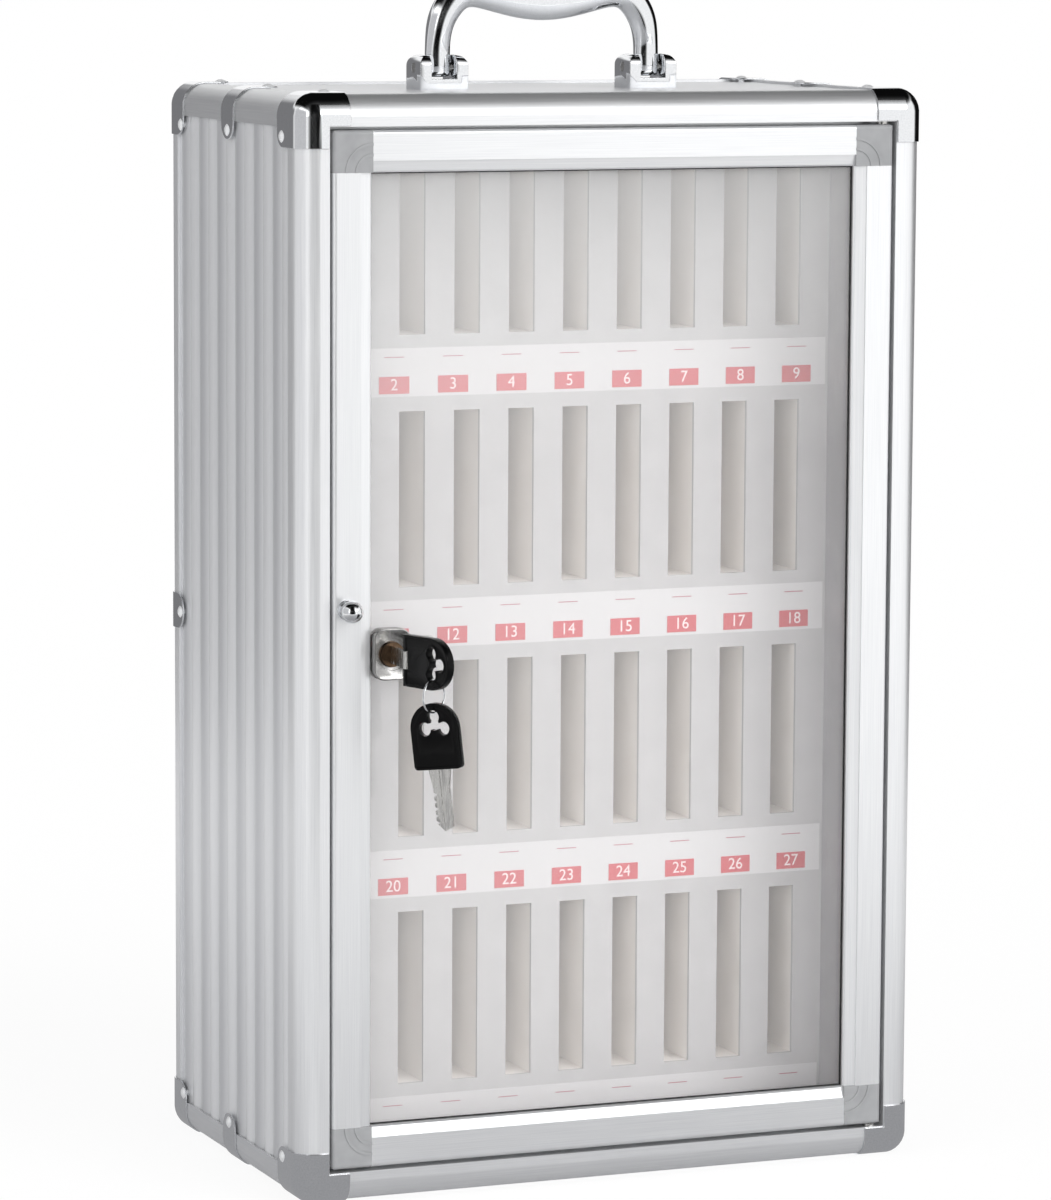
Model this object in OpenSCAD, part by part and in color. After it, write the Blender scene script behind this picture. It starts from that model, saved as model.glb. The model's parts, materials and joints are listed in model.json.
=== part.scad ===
/* [Case] */
// Width of the case
body_w = 330; // [280:1:420]
// Depth of the case
body_d = 200; // [180:1:260]
// Height of the case without its handle
body_h = 540; // [500:1:620]
// Radius of the outer edges
edge_r = 11; // [10:0.5:12]
// Wall of the hollow profiles
wall = 1.5; // [1.2:0.1:1.8]
// Width of the front frame's face, from the outer face to the door gap
frame_face = 15.4; // [15:0.1:17]
// Strip that the front frame shows on the sides
front_strip = 17; // [16:0.5:18]
// Strip that the other profiles show
edge_strip = 16; // [15.5:0.5:18]
// Reach of the door stop towards the opening
stop_reach = 7.1; // [5:0.1:8]
// Gap between the back of the door and its stop
stop_gap = 1.6; // [1.2:0.1:2.5]

/* [Panels] */
// Thickness of the panels
panel_t = 4; // [3.5:0.1:4.5]
// Lip of the profile over the edge of a panel
lip_t = 1.2; // [1:0.1:1.5]
// How deep a panel sits in a profile
channel_d = 3; // [2:0.5:4]
// Pitch of the flutes on the side panels
flute_pitch = 13.9; // [10:0.1:20]
// Depth of the flutes
flute_depth = 0.9; // [0.4:0.1:1.5]
// Thickness of the inner liners and plates
liner_t = 1.5; // [1:0.1:2.5]
// Distance from the outer face to the inside of the side liners
liner_in = 22.5; // [22:0.5:26]
// Space above the cabin's ceiling for rivets and screws
ceiling_gap = 3; // [2.8:0.1:5]

/* [Corners and clips] */
// Thickness of the chromed plates
plate_t = 0.8; // [0.6:0.1:1.2]
// Gap under the chromed plates
plate_gap = 0.1; // [0.05:0.05:0.2]
// Width of a corner's strips on the front and the back
corner_strip = 15; // [9:0.5:15]
// Reach of a corner along the edges of the case
corner_leg = 25.8; // [25:0.1:30]
// Depth of a front corner on the sides
corner_deep = 30; // [28:0.5:36]
// Depth of a back corner on the sides
corner_back = 27; // [26:0.5:32]
// Rounding of the free angles of a corner's wings
corner_round = 8; // [4:1:10]
// Width of an edge clip
clip_w = 18; // [14:0.5:24]
// Reach of an edge clip on either face
clip_reach = 25; // [24:0.5:28]
// Place of the depth clips, from the middle of the case
clip_y = 4; // [-20:1:20]
// Height of the clips on the back edges
clip_z = 271; // [200:1:340]
// Distance of the rivets from the edges of the case
rivet_in = 20.6; // [20.3:0.1:21]
// Distance of a corner's rivets from the front or the back
rivet_v = 23.5; // [23:0.1:24]
// Radius of a rivet's head
rivet_head_r = 3; // [2.5:0.1:3.5]
// Radius of a rivet's shank
rivet_r = 1.5; // [1.2:0.1:1.8]

/* [Door] */
// Gap between the door and the frame
door_gap = 1.6; // [1.4:0.1:2.5]
// Thickness of the door's profiles
door_t = 13; // [12:0.1:15]
// Width of the door's profiles
door_rim = 20.4; // [20:0.1:22]
// Flat outer part of a stile
stile_flat = 13.8; // [13:0.1:15]
// Flat outer part of a rail
rail_flat = 14.2; // [13.5:0.1:16.5]
// Rounding of the door's long edges
door_round = 2; // [1.5:0.1:2.2]
// Thickness of the window
glass_t = 3; // [2.5:0.1:3.2]
// Distance from the door's face to the window
glass_v = 5.6; // [5:0.1:6]
// Thickness of the seal in front of the window
gasket_t = 1; // [0.8:0.1:1.2]
// How far the seal shows beside the profile
gasket_show = 0.6; // [0.4:0.1:2]
// Distance of the hinge pin from the door's edge and face
hinge_in = 4.5; // [4:0.1:5]
// Radius of a hinge pin
hinge_r = 1.75; // [1.5:0.05:2]
// Running clearance of pins in their bores
run_gap = 0.05; // [0.03:0.01:0.1]

/* [Knob and lock] */
// Height of the knob
knob_z = 292.5; // [285:0.5:320]
// Radius of the knob's ball
knob_r = 5.5; // [5:0.5:8]
// Distance from the door's face to the ball's centre
knob_out = 8; // [7.5:0.1:14]
// Distance of the lock's axis from the door's edge
lock_in = 30; // [30:0.5:60]
// Height of the lock's axis
lock_z = 270; // [260:1:275]
// Width of the lock's housing
lock_w = 18.5; // [18:0.5:22]
// Height of the lock's housing
lock_h = 25; // [22:0.5:30]
// How far the lock's housing stands in front of the door's face
lock_out = 2; // [1:0.5:6]
// Radius of the lock's core
core_r = 6; // [5:0.1:6.5]
// Reach of the lock's cam from the axis
cam_reach = 28; // [27:0.5:29]

/* [Keys] */
// Length of a key's bow
bow_len = 32; // [30:1:40]
// Width of a key's bow
bow_w = 25; // [24:0.5:32]
// Thickness of a key's bow
bow_t = 4; // [3:0.1:5]
// Turn of the folding bow from straight out
bow_turn = 20; // [0:1:60]
// Distance from the lock's core to the pin of the bow
neck_len = 19.5; // [9:0.5:22]
// Depth of the key in the core
key_in = 14; // [10:0.5:15]
// Height of a key's blade
blade_h = 8.4; // [5:0.1:9]
// Thickness of a key's blade
blade_t = 1.9; // [1.2:0.1:2.2]
// Length of the spare key's blade
spare_len = 30; // [24:1:38]
// Width of the spare key's shoulder
shoulder_w = 11.5; // [10:0.5:14]
// Height of the spare key's shoulder
shoulder_h = 9; // [4:1:12]
// Radius of the key ring, to the middle of its wire
ring_r = 8; // [7.5:0.5:14]
// Radius of the key ring's wire
ring_wire = 0.55; // [0.4:0.05:0.8]

/* [Handle] */
// Distance between the middles of the two brackets
handle_span = 113; // [100:1:130]
// Width of a bracket
bracket_w = 25.5; // [24:0.5:30]
// Depth of a bracket
bracket_d = 20; // [18:0.5:24]
// Height of a bracket above the case
bracket_up = 16; // [15:0.5:20]
// Thickness of a bracket's cheeks
cheek_t = 6; // [5:0.25:7]
// Height of the pivot above the case
pivot_up = 9.5; // [9:0.25:11]
// Radius of the pivot pins
pivot_r = 2.5; // [2:0.1:3]
// Height of the handle's top above the case
grip_top = 56; // [50:1:70]
// Height of the grip's underside at its ends
grip_end = 39.4; // [34:0.2:46]
// Height of the grip's underside in the middle
grip_mid = 32.5; // [28:0.5:38]
// Depth of the handle
handle_d = 14; // [12:0.5:18]

/* [Rack] */
// Columns of slots
columns = 9; // [4:1:9]
// Distance from one slot to the next
slot_pitch = 29.1; // [26:0.1:30]
// Width of a slot
slot_w = 13.7; // [11:0.1:17]
// Height of a slot
slot_h = 87.6; // [70:0.1:95]
// Height of the lowest slots' floor
slot_z = 43; // [36:0.5:50]
// Shift of the middle slot from the middle of the case
slot_shift = 3.35; // [0:0.05:3.5]
// Distance from one row to the next
row_pitch = 125.5; // [118:0.5:130]
// Distance from the front face to the rack's board
board_v = 63; // [50:1:90]
// Thickness of the rack's board
board_t = 2; // [1.5:0.1:3]
// Wall of the rack's hollow blocks
block_t = 1.5; // [1:0.1:2]
// Distance from one number plate to the next
label_pitch = 31.2; // [28:0.1:32]
// Height of the lowest number plates' middle
label_z = 18.2; // [16:0.1:24]
// Width of a number plate
label_w = 16; // [10:0.5:20]
// Height of a number plate
label_h = 8.5; // [6:0.5:12]
// Height of the sheet behind a row of plates
sheet_h = 24; // [18:0.5:26]

/* [Hidden] */
$fn = 48;

half_w = body_w / 2;
half_d = body_d / 2;
proud = plate_gap + plate_t;
panel_in = lip_t + panel_t;
channel_floor = front_strip - channel_d;
edge_channel = edge_strip - channel_d;
mitre = 30;
ball_step = 0.02;
liner_x = half_w - liner_in;
rack_end = half_d - edge_strip;
rack_back_t = 2;
stop_v = door_t + stop_gap;
stop_back = stop_v + wall;
frame_deep = max(front_strip, stop_back);
cam_v = stop_back + 0.4;
cam_t = 1.5;
cam_head_t = 1.6;
lining_v = cam_v + cam_t + cam_head_t + 0.6;
ceiling_z = body_h - panel_in - ceiling_gap - liner_t;
floor_top = panel_in + liner_t;
board_y = -half_d + board_v;
board_back = board_y + board_t;
block_back = rack_end - rack_back_t;
rows = 4;
fit_gap = 0.2;
cut = 1;
out = 10;
hinge_x = half_w - frame_face - door_gap - hinge_in;
hinge_y = -half_d + hinge_in;
hinge_deep = 8;
door_x = half_w - frame_face - door_gap;
door_lo = frame_face + door_gap;
door_hi = body_h - door_lo;
groove_wall = 0.5;
groove_gap = 0.7;
glass_back = glass_v + glass_t;
glass_x = door_x - stile_flat - groove_wall - groove_gap;
glass_z = door_lo + rail_flat + groove_wall + groove_gap;
lock_x = -door_x + lock_in;
core_out = lock_out + 0.3;
barrel_r = 8;
cam_half = 6;
pivot_y = -half_d - core_out - neck_len;
knuckle_z = blade_h / 2 + 0.3;
bow_pin_r = 0.8;
lobe_r = 3.3;
side_lobe = bow_len - 12.4;
top_lobe = bow_len - 6.7;
lobe_z = 5;
ring_seat = 0.9;
spare_seat = 1.4;
spare_root = 6;
ring_turn = 30;
spare_turn = -48;
spare_tilt = -7;
spare_hang = top_lobe + lobe_r - spare_seat;
bow_axis = bow_turn - 90;
ring_hook = [
    side_lobe * cos(bow_axis) + lock_x,
    side_lobe * sin(bow_axis) + pivot_y,
    lock_z - lobe_z - lobe_r + ring_seat
];
screw_r = 2;
screw_in = 4;
bracket_floor = 4;
bracket_screw_y = 5.5;
foot_r = pivot_up - bracket_floor - 0.3;
foot_w = bracket_w - 2 * cheek_t - 0.5;
arm_free = 12;
sheet_t = 0.2;
label_t = 0.3;

// Places the case on the undersides of its corners
module lift() {
    translate([0, 0, proud]) children();
}

// Block between two opposite corners
module block(lo, hi) {
    translate(lo) cube(hi - lo);
}

// Outline in X and Z, drawn out from y0 to y1
module along_y(y0, y1) {
    translate([0, y1, 0]) rotate([90, 0, 0]) linear_extrude(y1 - y0) children();
}

// Outline in Y and Z, drawn out from x0 to x1
module along_x(x0, x1) {
    translate([x0, 0, 0]) rotate([90, 0, 90]) linear_extrude(x1 - x0) children();
}

// Outline in X and Y, drawn out from z0 to z1
module along_z(z0, z1) {
    translate([0, 0, z0]) linear_extrude(z1 - z0) children();
}

// Rounded rectangle between two opposite corners
module rounded(lo, hi, r) {
    size = hi - lo;
    translate(lo) {
        translate([r, 0]) square([size.x - 2 * r, size.y]);
        translate([0, r]) square([size.x, size.y - 2 * r]);
        for (x = [r, size.x - r], y = [r, size.y - r]) translate([x, y]) circle(r);
    }
}

// Rectangle from the origin with a round corner at the origin
module round_corner(size, r) {
    translate([r, 0]) square([size.x - r, size.y]);
    translate([0, r]) square([size.x, size.y - r]);
    intersection() {
        translate([r, r]) circle(r);
        square([r, r]);
    }
}

// What a ball leaves of a block at the left, front and top, where three rounded edges meet
module ball_waste(corner, r) {
    middle = corner + [r, r, -r];
    difference() {
        block([corner.x - cut, corner.y - cut, middle.z], [middle.x, middle.y, corner.z + cut]);
        translate(middle) sphere(r + ball_step);
    }
}

// Outer shape of the case, grown by a distance, with a ball at the left, front and top
module envelope(grow) {
    x = half_w + grow;
    y = half_d + grow;
    z0 = -grow;
    z1 = body_h + grow;
    r = edge_r + grow;
    difference() {
        intersection() {
            along_y(-y, y) rounded([-x, z0], [x, z1], r);
            along_x(-x, x) rounded([-y, z0], [y, z1], r);
            along_z(z0, z1) rounded([-x, -y], [x, y], r);
        }
        ball_waste([-x, -y, z1], r);
    }
}

// Section of the front frame: across from the outer face, and back from the front
module front_section() {
    difference() {
        union() {
            round_corner([frame_face, frame_deep], edge_r);
            translate([frame_face - wall, stop_v]) square([wall + stop_reach, wall]);
        }
        translate([wall, wall])
            round_corner([frame_face - 2 * wall, channel_floor - 2 * wall], edge_r - wall);
        translate([panel_in + wall, channel_floor - wall - cut])
            square([frame_face - panel_in - 2 * wall, frame_deep]);
        translate([lip_t, channel_floor]) square([panel_t, frame_deep]);
        translate([-cut, front_strip]) square([panel_in + cut, frame_deep]);
        translate([panel_in, stop_back]) square([frame_face, frame_deep]);
    }
}

// Section of the other profiles, alike both ways, with a channel for a panel on either leg
module edge_section() {
    difference() {
        round_corner([edge_strip, edge_strip], edge_r);
        translate([wall, wall])
            round_corner([edge_channel - 2 * wall, edge_channel - 2 * wall], edge_r - wall);
        translate([lip_t, edge_channel]) square([panel_t, edge_strip]);
        translate([edge_channel, lip_t]) square([edge_strip, panel_t]);
    }
}

// Upright profile at the left, its face at Y 0, mitred at both ends
module upright_bar() {
    corner = [-half_w, 0, body_h];
    difference() {
        intersection() {
            translate([-half_w, 0, 0]) linear_extrude(body_h) children();
            along_y(-cut, body_d) polygon([
                [-half_w, 0],
                [-half_w + mitre, mitre],
                [-half_w + mitre, body_h - mitre],
                [-half_w, body_h]
            ]);
            along_y(-cut, body_d) rounded([-half_w, 0], [half_w, body_h], edge_r);
        }
        ball_waste(corner, edge_r);
        to_bottom() ball_waste(corner, edge_r);
    }
}

// Level profile at the top, its face at Y 0, mitred at both ends
module level_bar() {
    corner = [-half_w, 0, body_h];
    difference() {
        intersection() {
            translate([-half_w, 0, body_h]) rotate([0, 90, 0]) linear_extrude(body_w) children();
            along_y(-cut, body_d) polygon([
                [-half_w, body_h],
                [half_w, body_h],
                [half_w - mitre, body_h - mitre],
                [-half_w + mitre, body_h - mitre]
            ]);
            along_y(-cut, body_d) rounded([-half_w, 0], [half_w, body_h], edge_r);
        }
        ball_waste(corner, edge_r);
        mirror([1, 0, 0]) ball_waste(corner, edge_r);
    }
}

// Turns a piece at the top over to the bottom
module to_bottom() {
    translate([0, 0, body_h]) mirror([0, 0, 1]) children();
}

// Places a bar of the front frame
module at_front() {
    translate([0, -half_d, 0]) children();
}

// Places a bar of the back frame
module at_back() {
    translate([0, half_d, 0]) mirror([0, 1, 0]) children();
}

module front_profile_left() {
    color("whitesmoke") lift() at_front() upright_bar() front_section();
}

module front_profile_right() {
    color("whitesmoke") lift() mirror([1, 0, 0]) at_front() upright_bar() front_section();
}

// The bores hold the hinge pins
module front_profile_top() {
    color("whitesmoke") lift() difference() {
        at_front() level_bar() front_section();
        hinge_bore(body_h - frame_face);
    }
}

module front_profile_bottom() {
    color("whitesmoke") lift() to_bottom() difference() {
        at_front() level_bar() front_section();
        hinge_bore(body_h - frame_face);
    }
}

module back_profiles_upright() {
    color("whitesmoke") lift() for (side = [0, 1])
        mirror([side, 0, 0]) at_back() upright_bar() edge_section();
}

module back_profiles_level() {
    color("whitesmoke") lift() {
        at_back() level_bar() edge_section();
        to_bottom() at_back() level_bar() edge_section();
    }
}

// One of the four profiles that run from the front to the back, at the top left
module edge_bar() {
    y0 = -half_d + front_strip;
    difference() {
        translate([-half_w, y0, body_h]) rotate([-90, 0, 0])
            linear_extrude(half_d - edge_strip - y0) edge_section();
        block(
            [-half_w + panel_in, y0 - cut, body_h - edge_strip - cut],
            [-half_w + edge_strip + cut, -half_d + frame_deep, body_h - panel_in]
        );
    }
}

module edge_profiles() {
    color("whitesmoke") lift() for (side = [0, 1]) mirror([side, 0, 0]) {
        edge_bar();
        to_bottom() edge_bar();
    }
}

// Bore for a hinge pin through a frame's inner wall, whose face is at z
module hinge_bore(z) {
    translate([hinge_x, hinge_y, z - cut]) cylinder(r = hinge_r + run_gap, h = wall + 2 * cut);
}

// Puts a piece at every rivet, its Z pointing out of the case
module at_rivets() {
    side_places = [
        [-half_d + rivet_v, rivet_in],
        [-half_d + rivet_v, body_h - rivet_in],
        [half_d - rivet_v, rivet_in],
        [half_d - rivet_v, body_h - rivet_in],
        [clip_y, rivet_in],
        [clip_y, body_h - rivet_in],
        [half_d - rivet_in, clip_z]
    ];
    x = -half_w + rivet_in;
    for (side = [0, 1]) mirror([side, 0, 0]) {
        for (place = side_places)
            translate([-half_w - proud, place[0], place[1]]) rotate([0, -90, 0]) children();
        for (y = [-half_d + rivet_v, clip_y, half_d - rivet_v])
            translate([x, y, body_h + proud]) children();
        translate([x, half_d + proud, clip_z]) rotate([-90, 0, 0]) children();
    }
}

module rivet_holes() {
    at_rivets() translate([0, 0, -out]) cylinder(r = rivet_r + run_gap, h = 2 * out);
}

// Domed rivet through a plate and a panel, spread behind them
module rivet() {
    dome = 1.2;
    dome_r = (rivet_head_r * rivet_head_r + dome * dome) / (2 * dome);
    tail = 1;
    deep = proud + panel_in;
    intersection() {
        translate([0, 0, dome - dome_r]) sphere(dome_r);
        cylinder(r = rivet_head_r, h = 2 * dome);
    }
    translate([0, 0, -deep - tail / 2]) cylinder(r = rivet_r, h = deep + tail);
    translate([0, 0, -deep - tail]) cylinder(r = rivet_r + 1, h = tail);
}

module case_rivets() {
    color("gainsboro") lift() at_rivets() rivet();
}

// Panel with upright flutes at the left side
module fluted_panel() {
    y0 = -half_d + channel_floor;
    y1 = half_d - edge_channel;
    seen0 = -half_d + front_strip;
    seen1 = half_d - edge_strip;
    count = floor((seen1 - seen0) / flute_pitch);
    first = (seen0 + seen1 - count * flute_pitch) / 2;
    last = first + count * flute_pitch;
    ridge_r = flute_pitch * flute_pitch / (8 * flute_depth) + flute_depth / 2;
    face = -half_w + lip_t;
    inner = -half_w + panel_in;
    difference() {
        along_z(edge_channel, body_h - edge_channel) {
            translate([face + flute_depth, y0]) square([panel_t - flute_depth, y1 - y0]);
            translate([face, y0]) square([panel_t, first - y0]);
            translate([face, last]) square([panel_t, y1 - last]);
            for (i = [0:count - 1]) intersection() {
                translate([face + ridge_r, first + (i + 0.5) * flute_pitch])
                    circle(ridge_r, $fn = 180);
                translate([face, first + i * flute_pitch]) square([inner - face, flute_pitch]);
            }
        }
        rivet_holes();
    }
}

module side_panel_left() {
    color("silver") lift() fluted_panel();
}

module side_panel_right() {
    color("silver") lift() mirror([1, 0, 0]) fluted_panel();
}

// Flat panel between the two level rows of profiles, at the top
module level_panel() {
    block(
        [-half_w + edge_channel, -half_d + channel_floor, body_h - panel_in],
        [half_w - edge_channel, half_d - edge_channel, body_h - lip_t]
    );
}

module top_panel() {
    color("gainsboro") lift() difference() {
        level_panel();
        rivet_holes();
        at_bracket_screws() translate([0, 0, -panel_t - cut])
            cylinder(r = screw_r + run_gap, h = panel_t + 2 * cut);
    }
}

module bottom_panel() {
    color("gainsboro") lift() to_bottom() level_panel();
}

module back_panel() {
    color("gainsboro") lift() difference() {
        block(
            [-half_w + edge_channel, half_d - panel_in, edge_channel],
            [half_w - edge_channel, half_d - lip_t, body_h - edge_channel]
        );
        rivet_holes();
    }
}

// Bent corner plate at the left, front and top, with a wing of this depth on either side
module corner_plate(deep) {
    r = corner_round;
    x0 = -half_w - out;
    y0 = -half_d - out - r;
    y1 = -half_d + deep;
    z1 = body_h + out;
    intersection() {
        difference() {
            envelope(proud);
            envelope(plate_gap);
        }
        union() {
            along_x(x0, -half_w + corner_strip) rounded([y0, body_h - corner_leg], [y1, z1 + r], r);
            along_z(body_h - corner_strip, z1) rounded([x0 - r, y0], [-half_w + corner_leg, y1], r);
        }
    }
}

// Four plates from one, at both sides, top and bottom
module four_corners() {
    for (side = [0, 1]) mirror([side, 0, 0]) {
        children();
        to_bottom() children();
    }
}

module front_corners() {
    color("silver") lift() difference() {
        four_corners() corner_plate(corner_deep);
        rivet_holes();
    }
}

module back_corners() {
    color("silver") lift() difference() {
        four_corners() mirror([0, 1, 0]) corner_plate(corner_back);
        rivet_holes();
    }
}

// Plate bent over an edge that runs along Z, with a round end on either face
module clip_plate() {
    end_r = clip_w / 2 - fit_gap;
    bend = edge_r / 2;
    leg = clip_reach + proud;
    intersection() {
        translate([0, 0, -clip_w / 2]) linear_extrude(clip_w) difference() {
            translate([-proud, -proud]) round_corner([leg, leg], edge_r + proud);
            translate([-plate_gap, -plate_gap]) round_corner([leg, leg], edge_r + plate_gap);
        }
        union() {
            along_x(-out, bend) rounded([-clip_w, -clip_w / 2], [clip_reach, clip_w / 2], end_r);
            along_y(-out, bend) rounded([-clip_w, -clip_w / 2], [clip_reach, clip_w / 2], end_r);
        }
    }
}

module edge_clips() {
    color("silver") lift() difference() {
        for (side = [0, 1]) mirror([side, 0, 0]) {
            translate([-half_w, clip_y, body_h]) rotate([-90, 0, 0]) clip_plate();
            to_bottom() translate([-half_w, clip_y, body_h]) rotate([-90, 0, 0]) clip_plate();
            translate([-half_w, half_d, clip_z]) mirror([0, 1, 0]) clip_plate();
        }
        rivet_holes();
    }
}

// Lining at the left wall of the cabin
module liner() {
    block(
        [-liner_x - liner_t, -half_d + lining_v, panel_in],
        [-liner_x, block_back, ceiling_z]
    );
}

module liner_left() {
    color("gainsboro") lift() liner();
}

module liner_right() {
    color("gainsboro") lift() mirror([1, 0, 0]) liner();
}

module cabin_floor() {
    color("gainsboro") lift() block(
        [-liner_x, -half_d + lining_v, panel_in],
        [liner_x, block_back, floor_top]
    );
}

module cabin_ceiling() {
    color("gainsboro") lift() block(
        [-liner_x - liner_t, -half_d + lining_v, ceiling_z],
        [liner_x + liner_t, block_back, ceiling_z + liner_t]
    );
}

module rack_back() {
    color("darkgray") lift() block(
        [-liner_x - liner_t, block_back, panel_in],
        [liner_x + liner_t, rack_end, ceiling_z + liner_t]
    );
}

function slot_x(column) = slot_shift + (column - (columns - 1) / 2) * slot_pitch - slot_w / 2;
function row_z(row) = slot_z + row * row_pitch;

// Front of the rack, with a window for each slot
module face_board() {
    color("gainsboro") lift() difference() {
        block([-liner_x, board_y, floor_top], [liner_x, board_back, ceiling_z]);
        for (row = [0:rows - 1], column = [0:columns - 1])
            translate([slot_x(column), board_y - cut, row_z(row)])
                cube([slot_w, board_t + 2 * cut, slot_h]);
    }
}

// Hollow block across the rack, under or over the slots
module shelf(index) {
    z0 = index == 1 ? floor_top : row_z(index - 2) + slot_h;
    z1 = index > rows ? ceiling_z : row_z(index - 1);
    color("silver") lift() along_x(-liner_x, liner_x) difference() {
        translate([board_back, z0]) square([block_back - board_back, z1 - z0]);
        translate([board_back + block_t, z0 + block_t])
            square([block_back - board_back - 2 * block_t, z1 - z0 - 2 * block_t]);
    }
}

module shelf_1() shelf(1);
module shelf_2() shelf(2);
module shelf_3() shelf(3);
module shelf_4() shelf(4);
module shelf_5() shelf(5);

// Hollow blocks between the slots of a row
module dividers(row) {
    z0 = row_z(row - 1);
    color("tan") lift() for (i = [0:columns]) {
        x0 = i == 0 ? -liner_x : slot_x(i - 1) + slot_w;
        x1 = i == columns ? liner_x : slot_x(i);
        along_y(board_back, block_back) difference() {
            translate([x0, z0]) square([x1 - x0, slot_h]);
            translate([x0 + block_t, z0 + block_t])
                square([x1 - x0 - 2 * block_t, slot_h - 2 * block_t]);
        }
    }
}

module dividers_1() dividers(1);
module dividers_2() dividers(2);
module dividers_3() dividers(3);
module dividers_4() dividers(4);

module label_sheets() {
    margin = 1.5;
    color("white") lift() for (row = [0:rows - 1]) {
        z0 = label_z + row * row_pitch - label_h / 2 - margin;
        block(
            [-liner_x + margin, board_y - sheet_t, z0],
            [liner_x - margin, board_y, z0 + sheet_h]
        );
    }
}

module number_plates() {
    y1 = board_y - sheet_t;
    color("indianred") lift() for (row = [0:rows - 1], column = [0:columns - 1]) {
        x = (column - (columns - 1) / 2) * label_pitch - label_w / 2;
        z = label_z + row * row_pitch - label_h / 2;
        block([x, y1 - label_t, z], [x + label_w, y1, z + label_h]);
    }
}

// Puts a piece at the middle of either handle bracket's foot, on the case
module at_brackets() {
    for (side = [-1, 1]) translate([side * handle_span / 2, 0, body_h]) children();
}

module at_bracket_screws() {
    at_brackets() for (y = [-bracket_screw_y, bracket_screw_y])
        translate([0, y, -lip_t]) children();
}

// Upright fork that carries one foot of the handle
module handle_bracket() {
    half = bracket_w / 2;
    slot = half - cheek_t;
    top_r = cheek_t - 0.5;
    difference() {
        intersection() {
            along_y(-bracket_d / 2, bracket_d / 2) difference() {
                rounded([-half, -lip_t - out], [half, bracket_up], top_r);
                translate([-slot, bracket_floor]) square([2 * slot, bracket_up]);
                translate([-bracket_w, -lip_t - 2 * out]) square([2 * bracket_w, 2 * out]);
            }
            along_x(-bracket_w, bracket_w)
                rounded([-bracket_d / 2, -lip_t - out], [bracket_d / 2, bracket_up], top_r);
        }
        translate([-bracket_w, 0, pivot_up]) rotate([0, 90, 0])
            cylinder(r = pivot_r + run_gap, h = 2 * bracket_w);
        for (y = [-bracket_screw_y, bracket_screw_y])
            translate([0, y, -lip_t - cut]) cylinder(r = screw_r + run_gap, h = screw_in + cut);
    }
}

module handle_bracket_left() {
    color("silver") lift() translate([-handle_span / 2, 0, body_h]) handle_bracket();
}

module handle_bracket_right() {
    color("silver") lift() translate([handle_span / 2, 0, body_h]) handle_bracket();
}

module bracket_screws() {
    head_r = 3.5;
    head_t = 2;
    color("gray") lift() at_bracket_screws() {
        translate([0, 0, -panel_t - head_t]) cylinder(r = head_r, h = head_t);
        translate([0, 0, -panel_t - head_t / 2])
            cylinder(r = screw_r, h = panel_t + head_t / 2 + screw_in - 0.2);
    }
}

module handle_pins() {
    color("gray") lift() at_brackets() translate([-bracket_w / 2, 0, pivot_up])
        rotate([0, 90, 0]) cylinder(r = pivot_r, h = bracket_w);
}

// Point on a curve from a to c, drawn towards b
function bend_point(a, b, c, t) = (1 - t) * (1 - t) * a + 2 * t * (1 - t) * b + t * t * c;
function bend(a, b, c, steps) = [for (i = [1:steps]) bend_point(a, b, c, i / steps)];

// Front view of the right half of the handle above its foot
module handle_half() {
    foot_out = (handle_span + foot_w) / 2;
    foot_in = foot_out - foot_w;
    free = pivot_up + arm_free;
    outer = [foot_out, free];
    elbow = [foot_out - 1, grip_top - 4];
    shoulder = [foot_out - 19, grip_top - 1];
    grip_x = foot_in - 13;
    grip_stop = [grip_x, grip_end];
    hollow = [grip_x + 5, grip_end + 2];
    armpit = [grip_x + 7.5, grip_end - 3.5];
    polygon(concat(
        [outer],
        bend(outer, elbow, shoulder, 10),
        bend(shoulder, [foot_out / 3, grip_top], [0, grip_top], 6),
        [[0, grip_mid]],
        bend([0, grip_mid], [grip_x / 2, grip_mid], grip_stop, 8),
        bend(grip_stop, hollow, armpit, 5),
        [[foot_in, free]]
    ));
}

module handle() {
    round_r = handle_d / 2 - 0.5;
    grip_spare = 0.4;
    color("silver") lift() translate([0, 0, body_h]) difference() {
        intersection() {
            along_y(-handle_d / 2, handle_d / 2) for (side = [0, 1]) mirror([side, 0]) {
                handle_half();
                translate([(handle_span - foot_w) / 2, pivot_up - foot_r])
                    square([foot_w, foot_r + arm_free]);
            }
            along_x(-handle_span, handle_span) {
                translate([0, pivot_up]) circle(foot_r);
                translate([-foot_r, pivot_up]) square([2 * foot_r, arm_free + foot_r]);
                rounded(
                    [-handle_d / 2, pivot_up + arm_free],
                    [handle_d / 2, grip_top + grip_spare],
                    round_r
                );
            }
        }
        translate([-handle_span, 0, pivot_up]) rotate([0, 90, 0])
            cylinder(r = pivot_r + run_gap, h = 2 * handle_span);
    }
}

// Pin in the jamb above the door, with a collar that keeps the door off the frame
module hinge_pin() {
    face = body_h - frame_face;
    end_play = 0.3;
    collar = door_gap - end_play;
    collar_r = hinge_in - 1.4;
    head_t = 1;
    head_r = hinge_r + 0.8;
    reach = door_gap + hinge_deep - end_play;
    translate([hinge_x, hinge_y, 0]) {
        translate([0, 0, face - reach]) cylinder(r = hinge_r, h = reach + wall + head_t);
        translate([0, 0, face - collar]) cylinder(r = collar_r, h = collar);
        translate([0, 0, face + wall]) cylinder(r = head_r, h = head_t);
    }
}

module hinge_pins() {
    color("gray") lift() {
        hinge_pin();
        to_bottom() hinge_pin();
    }
}

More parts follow.
